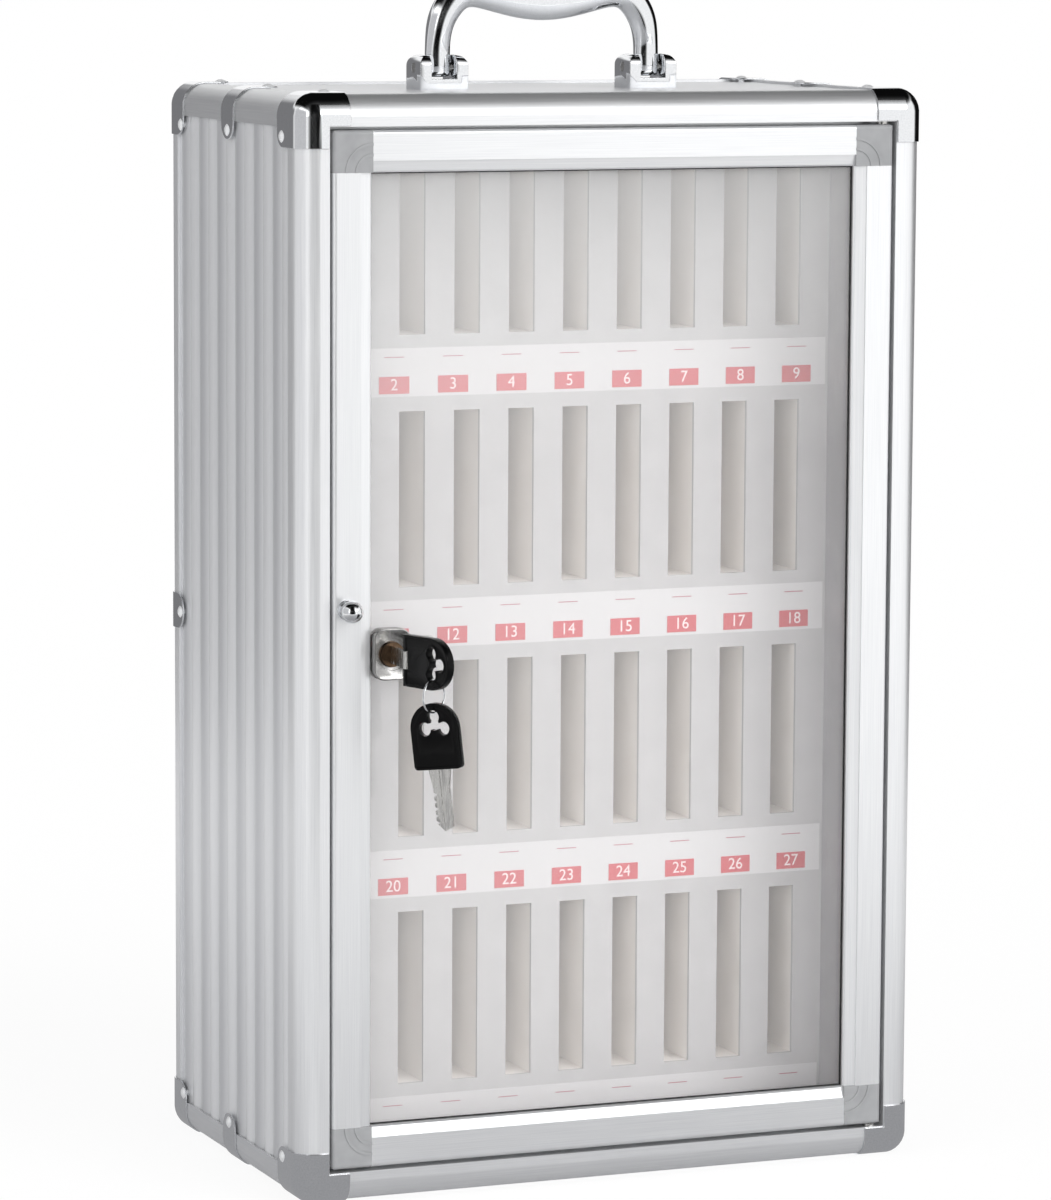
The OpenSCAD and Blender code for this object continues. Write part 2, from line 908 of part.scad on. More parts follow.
// Section of a door profile: across from the door's edge, and back from its face
module door_section(flat) {
    box_w = flat + groove_wall;
    seal_v = glass_v - gasket_t;
    back_lip = 3.2;
    lip_root = 0.8;
    lip_bend = [door_rim - 0.8, 2.2];
    lip_edge = [door_rim, 3];
    difference() {
        union() {
            intersection() {
                rounded([0, 0], [2 * box_w, door_t], door_round);
                square([box_w, door_t]);
            }
            polygon([
                [box_w - groove_wall, lip_root],
                lip_bend,
                lip_edge,
                [door_rim, seal_v],
                [box_w - groove_wall, seal_v]
            ]);
            translate([box_w - groove_wall, glass_back]) square([back_lip + groove_wall, wall]);
        }
        translate([wall, wall]) square([box_w - 2 * wall, door_t - 2 * wall]);
    }
}

module door_stile() {
    z0 = door_lo + door_rim;
    translate([-door_x, -half_d, z0]) linear_extrude(body_h - 2 * z0) door_section(stile_flat);
}

module door_stile_left() {
    color("whitesmoke") lift() difference() {
        door_stile();
        knob_place() rotate([-90, 0, 0]) translate([0, 0, -cut])
            cylinder(r = screw_r + run_gap, h = door_t + 2 * cut);
    }
}

module door_stile_right() {
    color("whitesmoke") lift() mirror([1, 0, 0]) door_stile();
}

module door_rail() {
    x = door_x - door_rim;
    translate([-x, -half_d, door_hi]) rotate([0, 90, 0])
        linear_extrude(2 * x) door_section(rail_flat);
}

module door_rail_top() {
    color("whitesmoke") lift() door_rail();
}

module door_rail_bottom() {
    color("whitesmoke") lift() to_bottom() door_rail();
}

// Moulded corner of the door at the left and bottom, with tongues into both profiles
module door_corner() {
    tongue = 10;
    stile_in = stile_flat + groove_wall - wall - fit_gap;
    rail_in = rail_flat + groove_wall - wall - fit_gap;
    lo = wall + fit_gap;
    ridge_t = 0.5;
    ridge_w = 1.4;
    ridge_root = 0.1;
    ridge_sizes = [0.45, 0.7];
    far = 3 * door_rim;
    translate([-door_x, -half_d, door_lo]) {
        difference() {
            intersection() {
                block([0, 0, 0], [door_rim, door_t, door_rim]);
                along_z(-cut, far) rounded([0, 0], [far, door_t], door_round);
                along_x(-cut, far) rounded([0, 0], [door_t, far], door_round);
                along_y(-cut, far) rounded([0, 0], [far, far], door_round);
            }
            block(
                [stile_flat + groove_wall, glass_v - gasket_t, rail_flat + groove_wall],
                [far, glass_back, far]
            );
        }
        block([lo, lo, door_rim - cut], [stile_in, door_t - lo, door_rim + tongue]);
        block([door_rim - cut, lo, lo], [door_rim + tongue, door_t - lo, rail_in]);
        for (size = ridge_sizes) along_y(-ridge_t, ridge_root)
            translate([door_rim, door_rim]) intersection() {
                difference() {
                    circle(size * door_rim);
                    circle(size * door_rim - ridge_w);
                }
                translate([-door_rim, -door_rim]) square([door_rim, door_rim]);
            }
    }
}

module door_corners() {
    color("darkgray") lift() difference() {
        four_corners() door_corner();
        for (z = [door_lo - cut, door_hi - hinge_deep]) translate([hinge_x, hinge_y, z])
            cylinder(r = hinge_r + run_gap, h = hinge_deep + cut);
    }
}

module door_glass() {
    color([0.85, 0.95, 0.95, 0.3]) lift() difference() {
        block(
            [-glass_x, -half_d + glass_v, glass_z],
            [glass_x, -half_d + glass_back, body_h - glass_z]
        );
        lock_place() rotate([-90, 0, 0]) cylinder(r = barrel_r + run_gap, h = half_d);
    }
}

// Flat seal round the window, cut away beside the lock
module door_gasket() {
    in_x = door_x - door_rim - gasket_show;
    in_z = door_lo + door_rim + gasket_show;
    color("black") lift() difference() {
        block(
            [-glass_x, -half_d + glass_v - gasket_t, glass_z],
            [glass_x, -half_d + glass_v, body_h - glass_z]
        );
        block([-in_x, -half_d - cut, in_z], [in_x, half_d, body_h - in_z]);
        lock_place() along_y(-out, out) rounded(
            [-lock_w / 2 - fit_gap, -lock_h / 2 - fit_gap],
            [lock_w / 2 + fit_gap, lock_h / 2 + fit_gap],
            edge_r / 4
        );
    }
}

module knob_place() {
    translate([-door_x + stile_flat / 2, -half_d, knob_z]) children();
}

module door_knob() {
    base_r = 5;
    base_t = 1.4;
    neck_r = 3.2;
    color("silver") lift() knob_place() rotate([90, 0, 0]) difference() {
        union() {
            cylinder(r = base_r, h = base_t);
            cylinder(r = neck_r, h = knob_out);
            translate([0, 0, knob_out]) sphere(knob_r);
        }
        translate([0, 0, -cut]) cylinder(r = screw_r + run_gap, h = 2 * knob_r);
    }
}

module knob_screw() {
    head_r = 3.5;
    head_t = 1;
    color("gray") lift() knob_place() rotate([-90, 0, 0]) {
        translate([0, 0, -knob_r]) cylinder(r = screw_r, h = knob_r + door_t + head_t / 2);
        translate([0, 0, door_t]) cylinder(r = head_r, h = head_t);
    }
}

// Front of the lock's axis, at the door's face
module lock_place() {
    translate([lock_x, -half_d, lock_z]) children();
}

module lock_housing() {
    color("silver") lift() lock_place() difference() {
        union() {
            along_y(-lock_out, glass_v)
                rounded([-lock_w / 2, -lock_h / 2], [lock_w / 2, lock_h / 2], 5);
            rotate([-90, 0, 0]) cylinder(r = barrel_r, h = cam_v - 0.3);
        }
        rotate([-90, 0, 0]) translate([0, 0, -out])
            cylinder(r = core_r + run_gap, h = out + cam_v + cut);
    }
}

module lock_nut() {
    nut_r = 11;
    nut_t = 3;
    color("gray") lift() lock_place() translate([0, glass_back, 0]) rotate([-90, 0, 0])
        difference() {
            cylinder(r = nut_r, h = nut_t, $fn = 6);
            translate([0, 0, -cut]) cylinder(r = barrel_r + run_gap, h = nut_t + 2 * cut);
        }
}

// Core with its keyway in front and the thread for the cam's screw behind
module lock_core() {
    way_w = blade_t / 2 + run_gap;
    way_h = blade_h / 2 + run_gap;
    thread = 3;
    color("gray") lift() lock_place() difference() {
        rotate([-90, 0, 0]) translate([0, 0, -core_out]) cylinder(r = core_r, h = core_out + cam_v);
        block([-way_w, -out, -way_h], [way_w, key_in - core_out + fit_gap, way_h]);
        translate([0, cam_v + cut, 0]) rotate([90, 0, 0])
            cylinder(r = rivet_r + run_gap, h = thread + cut);
    }
}

// Cam that swings behind the left jamb of the frame, drawn turned away from it
module lock_cam() {
    tip_r = 2;
    color("silver") lift() lock_place() difference() {
        along_y(cam_v, cam_v + cam_t) {
            circle(cam_half);
            rounded([-cam_half / 2, -cam_half], [cam_reach, cam_half], tip_r);
        }
        rotate([-90, 0, 0]) cylinder(r = rivet_r + run_gap, h = half_d);
    }
}

module cam_screw() {
    shank = 2.8;
    head_r = 3.8;
    color("gray") lift() lock_place() rotate([-90, 0, 0]) {
        translate([0, 0, cam_v - shank]) cylinder(r = rivet_r, h = shank + cam_t + cam_head_t / 2);
        translate([0, 0, cam_v + cam_t]) cylinder(r = head_r, h = cam_head_t);
    }
}

// Outline of a toothed blade that starts at Y 0 and ends at its tip at Y len
module blade_outline(len) {
    teeth = 5;
    step = 3.4;
    depth = 2;
    shallow = 0.6;
    half = blade_h / 2;
    half_tooth = 0.4 * step;
    difference() {
        polygon([
            [0, -half],
            [len - half, -half],
            [len, 0],
            [len - half / 2, half],
            [0, half]
        ]);
        for (i = [0:teeth - 1]) translate([len - half - i * step, -half]) polygon([
            [-half_tooth, -cut],
            [0, depth * (i % 2 == 0 ? 1 : shallow)],
            [half_tooth, -cut]
        ]);
    }
}

// Key blade in the lock, with the eye of the folding bow in front
module key_blade() {
    eye_r = bow_t / 2 - 0.05;
    len = neck_len + key_in;
    color("silver") lift() translate([lock_x, pivot_y, lock_z]) difference() {
        union() {
            along_x(-blade_t / 2, blade_t / 2) blade_outline(len);
            translate([0, 0, -blade_h / 2]) cylinder(r = eye_r, h = blade_h);
        }
        translate([0, 0, -blade_h]) cylinder(r = bow_pin_r + run_gap, h = 2 * blade_h);
    }
}

// Outline of a bow from its flat end at X 0, with four round openings that join
module bow_outline() {
    r = bow_w / 2;
    middle = (side_lobe + top_lobe) / 2 - 0.7;
    middle_r = lobe_r - 0.3;
    difference() {
        union() {
            translate([0, -r]) square([bow_len - r, bow_w]);
            translate([bow_len - r, 0]) circle(r);
        }
        for (z = [-lobe_z, lobe_z]) translate([side_lobe, z]) circle(lobe_r);
        translate([top_lobe, 0]) circle(lobe_r);
        translate([middle, 0]) circle(middle_r);
    }
}

// Black bow that folds on its pin
module key_bow() {
    mouth = bow_t / 2 + 0.4;
    color("black") lift() translate([lock_x, pivot_y, lock_z]) rotate([0, 0, bow_axis])
        difference() {
            union() {
                along_y(-bow_t / 2, bow_t / 2) bow_outline();
                translate([0, 0, -bow_w / 2]) cylinder(r = bow_t / 2, h = bow_w);
            }
            block([-out, -out, -knuckle_z], [mouth, out, knuckle_z]);
            translate([0, 0, -bow_w]) cylinder(r = bow_pin_r + run_gap, h = 2 * bow_w);
        }
}

module bow_pin() {
    len = bow_w - 2;
    color("gray") lift() translate([lock_x, pivot_y, lock_z - len / 2])
        cylinder(r = bow_pin_r, h = len);
}

module key_ring() {
    color("silver") lift() translate(ring_hook - [0, 0, ring_r]) rotate([90, 0, ring_turn])
        rotate_extrude($fn = 96) translate([ring_r, 0]) circle(ring_wire, $fn = 24);
}

// Place of the spare key: the wire's middle in its opening, the key hanging down
module spare_place() {
    translate(ring_hook - [0, 0, 2 * ring_r]) rotate([0, 0, spare_turn])
        rotate([0, spare_tilt, 0]) translate([0, 0, -spare_hang]) children();
}

module spare_bow() {
    slot_h = blade_h / 2 + run_gap;
    slot_t = blade_t / 2 + run_gap;
    color("black") lift() spare_place() difference() {
        rotate([0, -90, 0]) along_y(-bow_t / 2, bow_t / 2) bow_outline();
        block([-slot_h, -slot_t, -out], [slot_h, slot_t, spare_root]);
    }
}

// Blade with its root in the bow and a shoulder that tapers below it
module spare_blade() {
    half = blade_h / 2;
    color("silver") lift() spare_place() {
        along_y(-blade_t / 2, blade_t / 2) {
            rotate(-90) translate([-cut, 0]) blade_outline(spare_len + cut);
            polygon([
                [-shoulder_w / 2, 0],
                [-half, -shoulder_h],
                [half, -shoulder_h],
                [shoulder_w / 2, 0]
            ]);
        }
        block([-half, -blade_t / 2, -cut], [half, blade_t / 2, spare_root - fit_gap]);
    }
}

front_profile_left();
front_profile_right();
front_profile_top();
front_profile_bottom();
back_profiles_upright();
back_profiles_level();
edge_profiles();
side_panel_left();
side_panel_right();
top_panel();
bottom_panel();
back_panel();
front_corners();
back_corners();
edge_clips();
case_rivets();
liner_left();
liner_right();
cabin_floor();
cabin_ceiling();
rack_back();
face_board();
shelf_1();
shelf_2();
shelf_3();
shelf_4();
shelf_5();
dividers_1();
dividers_2();
dividers_3();
dividers_4();
label_sheets();
number_plates();
handle_bracket_left();
handle_bracket_right();
bracket_screws();
handle_pins();
handle();
hinge_pins();
door_stile_left();
door_stile_right();
door_rail_top();
door_rail_bottom();
door_corners();
door_glass();
door_gasket();
door_knob();
knob_screw();
lock_housing();
lock_nut();
lock_core();
lock_cam();
cam_screw();
key_blade();
key_bow();
bow_pin();
key_ring();
spare_bow();
spare_blade();
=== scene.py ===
# %% [markdown]
# # A locker box for phones
# The box is a case of pale hollow profiles with fluted sides, chromed corners, a clear hinged door and a rack
# of 36 numbered slots. The CAD model comes in first as a fixed frame. Everything after it only dresses that
# frame: a finish for each piece, and finer shapes where a closer look shows more than the CAD solid has.

import json
import math

import bpy
from mathutils import Matrix, Vector


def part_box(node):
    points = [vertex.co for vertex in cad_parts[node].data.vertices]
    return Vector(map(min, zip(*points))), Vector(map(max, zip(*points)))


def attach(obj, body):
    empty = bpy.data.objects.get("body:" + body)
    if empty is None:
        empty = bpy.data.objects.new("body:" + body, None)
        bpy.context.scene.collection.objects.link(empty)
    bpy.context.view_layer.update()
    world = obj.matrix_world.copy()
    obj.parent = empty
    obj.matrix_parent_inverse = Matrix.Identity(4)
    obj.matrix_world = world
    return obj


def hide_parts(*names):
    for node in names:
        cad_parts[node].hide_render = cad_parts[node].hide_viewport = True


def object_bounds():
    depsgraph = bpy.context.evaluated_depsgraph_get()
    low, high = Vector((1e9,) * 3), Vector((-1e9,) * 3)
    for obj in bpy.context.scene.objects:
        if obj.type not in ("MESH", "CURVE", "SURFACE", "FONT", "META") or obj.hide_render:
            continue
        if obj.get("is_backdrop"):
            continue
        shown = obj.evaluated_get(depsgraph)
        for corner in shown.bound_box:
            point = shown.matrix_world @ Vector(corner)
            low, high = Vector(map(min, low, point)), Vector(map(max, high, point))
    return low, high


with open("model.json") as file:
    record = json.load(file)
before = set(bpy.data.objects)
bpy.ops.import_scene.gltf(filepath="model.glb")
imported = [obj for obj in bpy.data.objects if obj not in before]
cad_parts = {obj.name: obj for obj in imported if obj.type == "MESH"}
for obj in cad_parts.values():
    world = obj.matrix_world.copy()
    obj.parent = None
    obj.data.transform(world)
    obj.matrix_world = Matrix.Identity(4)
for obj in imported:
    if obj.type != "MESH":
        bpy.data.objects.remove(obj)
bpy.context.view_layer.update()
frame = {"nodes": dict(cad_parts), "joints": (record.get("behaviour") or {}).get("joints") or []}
nodes = frame["nodes"]
joints = {joint["name"]: Vector(joint["pos_m"]) for joint in frame["joints"]}
scene = bpy.context.scene
scene.view_settings.view_transform = "Standard"
bpy.ops.object.select_all(action="DESELECT")

# %% [markdown]
# ## The camera
# The view was solved from the corners, the door gap and the number plates of the box. The camera stands 2.7 m
# away and to the left, looks 7 degrees down and has a long lens, so upright edges stay nearly parallel. A lens
# is set from the picture: the focal length in pixels over the height of the picture, times the sensor's height.

# %% Camera
PICTURE_HIGH = 1200
FOCAL_PIXELS = 5357.1
VIEW_TURN, VIEW_DOWN, VIEW_ROLL = (math.radians(angle) for angle in (22.051, 7.252, 0.298))
CAMERA_PLACE = Vector((-1.0222, -2.5050, 0.6245))

ahead = Vector((
    math.sin(VIEW_TURN) * math.cos(VIEW_DOWN),
    math.cos(VIEW_TURN) * math.cos(VIEW_DOWN),
    -math.sin(VIEW_DOWN),
))
level = Vector((math.cos(VIEW_TURN), -math.sin(VIEW_TURN), 0))
over = level.cross(ahead)
right = math.cos(VIEW_ROLL) * level + math.sin(VIEW_ROLL) * over
up = -math.sin(VIEW_ROLL) * level + math.cos(VIEW_ROLL) * over

camera_data = bpy.data.cameras.new("camera")
camera_data.sensor_fit = "VERTICAL"
camera_data.sensor_height = 36
camera_data.lens = FOCAL_PIXELS / PICTURE_HIGH * camera_data.sensor_height
camera_data.clip_end = 400
camera = bpy.data.objects.new("camera", camera_data)
scene.collection.objects.link(camera)
camera.matrix_world = Matrix.Translation(CAMERA_PLACE) @ Matrix((right, up, -ahead)).transposed().to_4x4()
scene.camera = camera
print("lens in mm:", round(camera_data.lens, 1))

# %% [markdown]
# ## Helpers for finishes
# A colour is written as it looks on a screen, as a hex code, and turned to the linear light that shaders work
# in. One function adds a node: it takes the node's kind, what goes into its sockets, and its settings. A socket
# takes a plain value or another node's output, which is then linked.

# %% Colour and node helpers
def colour(code):
    """A hex code such as #c0c0c0 as linear red, green, blue and alpha."""
    parts = [int(code[i : i + 2], 16) / 255 for i in (1, 3, 5)]
    return [c / 12.92 if c < 0.04045 else ((c + 0.055) / 1.055) ** 2.4 for c in parts] + [1]


def add_node(tree, kind, sockets=None, **settings):
    """A new shader node with its settings, and its sockets set or linked."""
    made = tree.nodes.new("ShaderNode" + kind)
    for name, value in settings.items():
        setattr(made, name, value)
    for name, value in (sockets or {}).items():
        if isinstance(value, bpy.types.NodeSocket):
            tree.links.new(value, made.inputs[name])
        else:
            made.inputs[name].default_value = value
    return made


def new_finish(name):
    """An empty node material and its tree."""
    material = bpy.data.materials.new(name)
    material.use_nodes = True
    material.node_tree.nodes.clear()
    return material, material.node_tree


def grain(tree, size, stretch=(1, 1, 1), detail=3):
    """Noise whose spots are about this many millimetres, drawn out where the stretch is small."""
    place = add_node(tree, "TexCoord")
    drawn = add_node(tree, "Mapping", {"Vector": place.outputs["Object"], "Scale": stretch})
    noise = add_node(tree, "TexNoise", {"Vector": drawn.outputs[0], "Scale": 1000 / size, "Detail": detail})
    return noise.outputs["Fac"]


def spread(tree, source, low, high):
    """Turns a pattern around its middle into values from low to high."""
    return add_node(tree, "MapRange", {
        "Value": source, "From Min": 0.3, "From Max": 0.7, "To Min": low, "To Max": high,
    }).outputs["Result"]


def tint(tree, source, first, second):
    """Goes from one hex colour to the other as the pattern rises."""
    factor = spread(tree, source, 0, 1)
    mixed = add_node(tree, "Mix", data_type="RGBA")
    mixed.inputs[6].default_value = colour(first)
    mixed.inputs[7].default_value = colour(second)
    tree.links.new(factor, mixed.inputs[0])
    return mixed.outputs[2]


def relief(tree, source, depth, **under):
    """Bump from a pattern, its depth in millimetres, laid over another normal if one is given."""
    return add_node(tree, "Bump", {
        "Height": source, "Strength": 1, "Distance": depth / 1000, **under,
    }).outputs[0]


def finish_off(material, tree, sockets):
    """Puts the main shader on the material."""
    shader = add_node(tree, "BsdfPrincipled", sockets)
    output = add_node(tree, "OutputMaterial")
    tree.links.new(shader.outputs[0], output.inputs["Surface"])
    return material


def dress(material, *names):
    """Gives CAD pieces this finish."""
    for name in names:
        slots = nodes[name].data.materials
        slots.clear()
        slots.append(material)
    print(material.name, "on", len(names), "pieces")


# %% [markdown]
# ## Anodised aluminium profiles
# The frame and the door are hollow bars of aluminium, pressed through a die and anodised to a pale satin silver.
# The die leaves hair-fine lines along each bar, so highlights are drawn out along it. Each direction of bar has
# its own material, with one noise pattern drawn out a hundred times along that bar. The anodised skin is a clear
# oxide that scatters light over the metal, so the finish is only partly metallic.

# %% Finish of the profiles
def anodised_profile(name, stretch, metallic):
    """Satin metal with hair-fine lines, drawn out by the stretch."""
    material, tree = new_finish(name)
    lines = grain(tree, 0.5, stretch)
    return finish_off(material, tree, {
        "Base Color": tint(tree, lines, "#eeeff1", "#f7f8f9"),
        "Metallic": metallic,
        "Roughness": spread(tree, lines, 0.3, 0.38),
        "Normal": relief(tree, lines, 0.002),
    })


bar_upright = anodised_profile("anodised_aluminium_upright", (1, 1, 0.01), 0.72)
bar_level = anodised_profile("anodised_aluminium_level", (0.01, 1, 1), 0.8)
bar_deep = anodised_profile("anodised_aluminium_deep", (1, 0.01, 1), 0.85)
dress(bar_upright, "front_profile_left", "front_profile_right", "back_profiles_upright",
      "door_stile_left", "door_stile_right")
dress(bar_level, "front_profile_top", "front_profile_bottom", "back_profiles_level",
      "door_rail_top", "door_rail_bottom")
dress(bar_deep, "edge_profiles")

# %% [markdown]
# ## Fluted side panels
# The sides are aluminium sheet rolled into shallow upright flutes, which look a darker silver than the bars.
# Every second flute catches more light, and that light and shade is painted into the colour: the tone rises and
# falls with a sine of the place along the depth, whose wave is two flutes long, from painted shade to painted
# highlight. The fine upright lines that rolling leaves are laid over it as drawn-out noise.

# %% Finish of the side panels
FLUTE_PITCH, FIRST_FLUTE = 0.0139, -0.0829


def rolled_sheet():
    """Aluminium sheet with painted light and shade that rise and fall from flute to flute."""
    material, tree = new_finish("rolled_fluted_aluminium")
    lines = grain(tree, 0.6, (1, 1, 0.008))
    place = add_node(tree, "TexCoord")
    parts = add_node(tree, "SeparateXYZ", {0: place.outputs["Object"]})
    along = add_node(tree, "Math", {0: parts.outputs["Y"], 1: FIRST_FLUTE}, operation="SUBTRACT")
    angle = add_node(tree, "Math", {0: along.outputs[0], 1: math.pi / FLUTE_PITCH}, operation="MULTIPLY")
    painted_flute_light_wave = add_node(tree, "Math", {0: angle.outputs[0]}, operation="SINE")
    painted_flute_shade = add_node(tree, "MapRange", {"Value": painted_flute_light_wave.outputs[0], "From Min": -2.5, "From Max": 2.5})
    return finish_off(material, tree, {
        # The tone from flute to flute is painted highlight and shade, not a colour of the sheet.
        "Base Color": tint(tree, painted_flute_shade.outputs["Result"], "#d0d1d4", "#f0f1f3"),
        "Metallic": 0.45,
        "Roughness": spread(tree, lines, 0.3, 0.4),
        "Normal": relief(tree, lines, 0.003),
    })


dress(rolled_sheet(), "side_panel_left", "side_panel_right")

# %% [markdown]
# ## Flat panels
# The top, the back and the bottom are flat sheet with a baked, pale silver lacquer. Lacquer flows out before it
# sets and keeps a faint orange peel, so the bump is soft and wide and the clear gloss lies over a plain colour.

# %% Finish of the flat panels
def baked_lacquer():
    """Pale lacquer with a faint orange peel under a thin gloss."""
    material, tree = new_finish("baked_silver_lacquer")
    peel = grain(tree, 2.5, detail=1)
    specks = grain(tree, 0.4)
    return finish_off(material, tree, {
        "Base Color": tint(tree, specks, "#dfe0e3", "#e9eaec"),
        "Metallic": 0.35,
        "Roughness": spread(tree, peel, 0.34, 0.42),
        "Normal": relief(tree, peel, 0.01),
        "Coat Weight": 0.3,
        "Coat Roughness": 0.2,
    })


dress(baked_lacquer(), "top_panel", "bottom_panel", "back_panel")

# %% [markdown]
# ## Chrome
# The corners, clips, handle, brackets, knob and ring are steel or zinc, polished and chromed: nearly a mirror, a
# little bluish, with a haze of wiping marks. One noise moves the tone, a wider one the roughness. Polishing wears
# every edge a little round. A bevel node turns the normals there as if the edges of the solid were rounded by
# 0.4 mm, so they catch a thin line of light.

# %% Finish of the chromed pieces
EDGE_ROUND = 0.0004


def polished_chrome():
    """Nearly a mirror, with rounded edges and a haze of wiping marks."""
    material, tree = new_finish("polished_chrome")
    wipes = grain(tree, 6, (1, 1, 0.3))
    haze = grain(tree, 0.8)
    rounded = add_node(tree, "Bevel", {"Radius": EDGE_ROUND}, samples=8)
    return finish_off(material, tree, {
        "Base Color": tint(tree, haze, "#e9ebed", "#f2f3f5"),
        "Metallic": 1,
        "Roughness": spread(tree, wipes, 0.05, 0.1),
        "Normal": relief(tree, wipes, 0.004, Normal=rounded.outputs[0]),
    })


chrome = polished_chrome()
dress(chrome, "handle_bracket_left", "handle_bracket_right", "handle", "door_knob", "key_ring",
      "front_corners", "back_corners", "edge_clips")

# %% [markdown]
# ## Metals of the lock
# The lock's housing is a zinc casting, barrelled and nickel plated, so it is greyer and softer than the chrome.
# The core is brass that has darkened in use. Both come from one recipe: a metal colour mottled over 2 mm, and
# fine marks that move the roughness.

# %% Finish of the lock
def worn_metal(name, first, second, rough):
    """A mottled metal with fine marks."""
    material, tree = new_finish(name)
    mottle = grain(tree, 2)
    marks = grain(tree, 0.3)
    return finish_off(material, tree, {
        "Base Color": tint(tree, mottle, first, second),
        "Metallic": 1,
        "Roughness": spread(tree, marks, rough - 0.05, rough + 0.05),
        "Normal": relief(tree, marks, 0.006),
    })


satin_nickel = worn_metal("satin_nickel_on_zinc", "#a5a4a3", "#bdbcba", 0.22)
dark_brass = worn_metal("darkened_brass", "#5d4a3a", "#7a6450", 0.3)
dress(satin_nickel, "lock_housing")
dress(dark_brass, "lock_core")

# %% [markdown]
# ## Nickel-plated steel
# Screws, pins, the lock's cam and the key blades are turned, stamped or cut steel with a thin nickel coat: warmer
# and softer than chrome, with fine cutting marks. The rivets are soft aluminium. Tumbling leaves them satin, so
# they look pale wherever they sit, and the profiles' recipe serves them with less metal in it.

# %% Finish of the steel pieces
def nickel_steel(name, stretch):
    """Warm plated steel with cutting marks, drawn out by the stretch."""
    material, tree = new_finish(name)
    marks = grain(tree, 0.3, stretch)
    return finish_off(material, tree, {
        "Base Color": tint(tree, marks, "#bdbcb9", "#d4d3d0"),
        "Metallic": 1,
        "Roughness": spread(tree, marks, 0.18, 0.3),
        "Normal": relief(tree, marks, 0.004),
    })


turned_steel = nickel_steel("nickel_plated_steel_turned", (1, 1, 1))
cut_steel = nickel_steel("nickel_plated_steel_cut", (1, 1, 0.05))
dress(turned_steel, "bracket_screws", "handle_pins", "hinge_pins", "knob_screw", "lock_nut",
      "cam_screw", "bow_pin")
dress(cut_steel, "lock_cam", "key_blade", "spare_blade")
dress(anodised_profile("tumbled_aluminium_rivets", (1, 1, 1), 0.4), "case_rivets")

# %% [markdown]
# ## Plastics
# Each moulded or rolled plastic starts from one recipe: a plain colour, a soft highlight and the grain that its
# mould or roller gave it. The colour, the roughness and the size and depth of the grain differ. The black bows of
# the keys are smooth but dull, so their highlight is turned down as well.

# %% Finishes of the plastics
def plastic(name, first, second, rough, size, depth, **more):
    """A plain colour with a grain of this size and depth in millimetres, and any other shader sockets."""
    material, tree = new_finish(name)
    texture = grain(tree, size)
    mottle = grain(tree, 12 * size, detail=2)
    return finish_off(material, tree, {
        "Base Color": tint(tree, mottle, first, second),
        "Roughness": spread(tree, texture, rough - 0.05, rough + 0.05),
        "Normal": relief(tree, texture, depth),
        **more,
    })


dress(plastic("moulded_grey_abs", "#9a9b9d", "#a3a4a6", 0.5, 0.7, 0.02), "door_corners")
dress(plastic("grey_lining_sheet", "#9c9a9c", "#a4a2a4", 0.6, 1.2, 0.02),
      "liner_left", "liner_right", "cabin_floor", "cabin_ceiling")
dress(plastic("warm_grey_hollow_board", "#efe9e4", "#f5f0ec", 0.7, 1.5, 0.03),
      "rack_back", "shelf_1", "shelf_2", "shelf_3", "shelf_4", "shelf_5",
      "dividers_1", "dividers_2", "dividers_3", "dividers_4")
dress(plastic("pale_foam_board", "#bdbbbc", "#c3c1c2", 0.65, 1.0, 0.02), "face_board")
dress(plastic("black_seal_rubber", "#101010", "#191919", 0.6, 0.5, 0.02), "door_gasket")
DULL = {"Specular IOR Level": 0.12}
bow_plastic = plastic("black_bow_plastic", "#050506", "#090909", 0.15, 3, 0.006, **DULL)
dress(bow_plastic, "key_bow", "spare_bow")

# %% [markdown]
# ## Paper and plates
# A white paper sheet runs behind each row of numbers. The plates are red gloss card with a printed number, and
# the ink lies in the surface, so the numbers are thin shapes just proud of the card.

# %% Finishes of the labels
def printed_card(name, first, second, rough):
    """Paper, card or ink, with fibres that run across."""
    material, tree = new_finish(name)
    fibres = grain(tree, 0.25, (0.4, 1, 1))
    return finish_off(material, tree, {
        "Base Color": tint(tree, fibres, first, second),
        "Roughness": spread(tree, fibres, rough - 0.06, rough + 0.06),
        "Normal": relief(tree, fibres, 0.008),
    })


white_paper = printed_card("white_label_paper", "#d6d4d5", "#dcdadb", 0.6)
red_card = printed_card("red_gloss_card", "#c8444d", "#d2505a", 0.4)
pale_ink = printed_card("pale_printing_ink", "#f3dcdc", "#f9e8e8", 0.45)
faded_ink = printed_card("faded_red_ink", "#b3707a", "#bd7d86", 0.6)
dress(white_paper, "label_sheets")
dress(red_card, "number_plates")

# %% [markdown]
# ## The window
# The window is clear cast acrylic. Light has to reach the rack behind it, and a ray tracer counts solid glass as
# a shadow, so a ray from a lamp meets a transparent shader instead. The eye still sees the glass itself. A share
# of white matte is mixed in as a painted reflection of the bright studio on the window, which lifts the darks
# behind it. This painted reflection falls from the left to the right and grows to the top.

# %% Finish of the window
# Shares of white matte painted as reflection on the window: at the left, at the right, and added at the top.
REFLECTION_HAZE_LEFT, REFLECTION_HAZE_RIGHT, REFLECTION_HAZE_TOP = 0.12, 0.04, 0.11
WINDOW_HALF = 0.13
REFLECTION_TOP_FROM, REFLECTION_TOP_TO = 0.36, 0.5


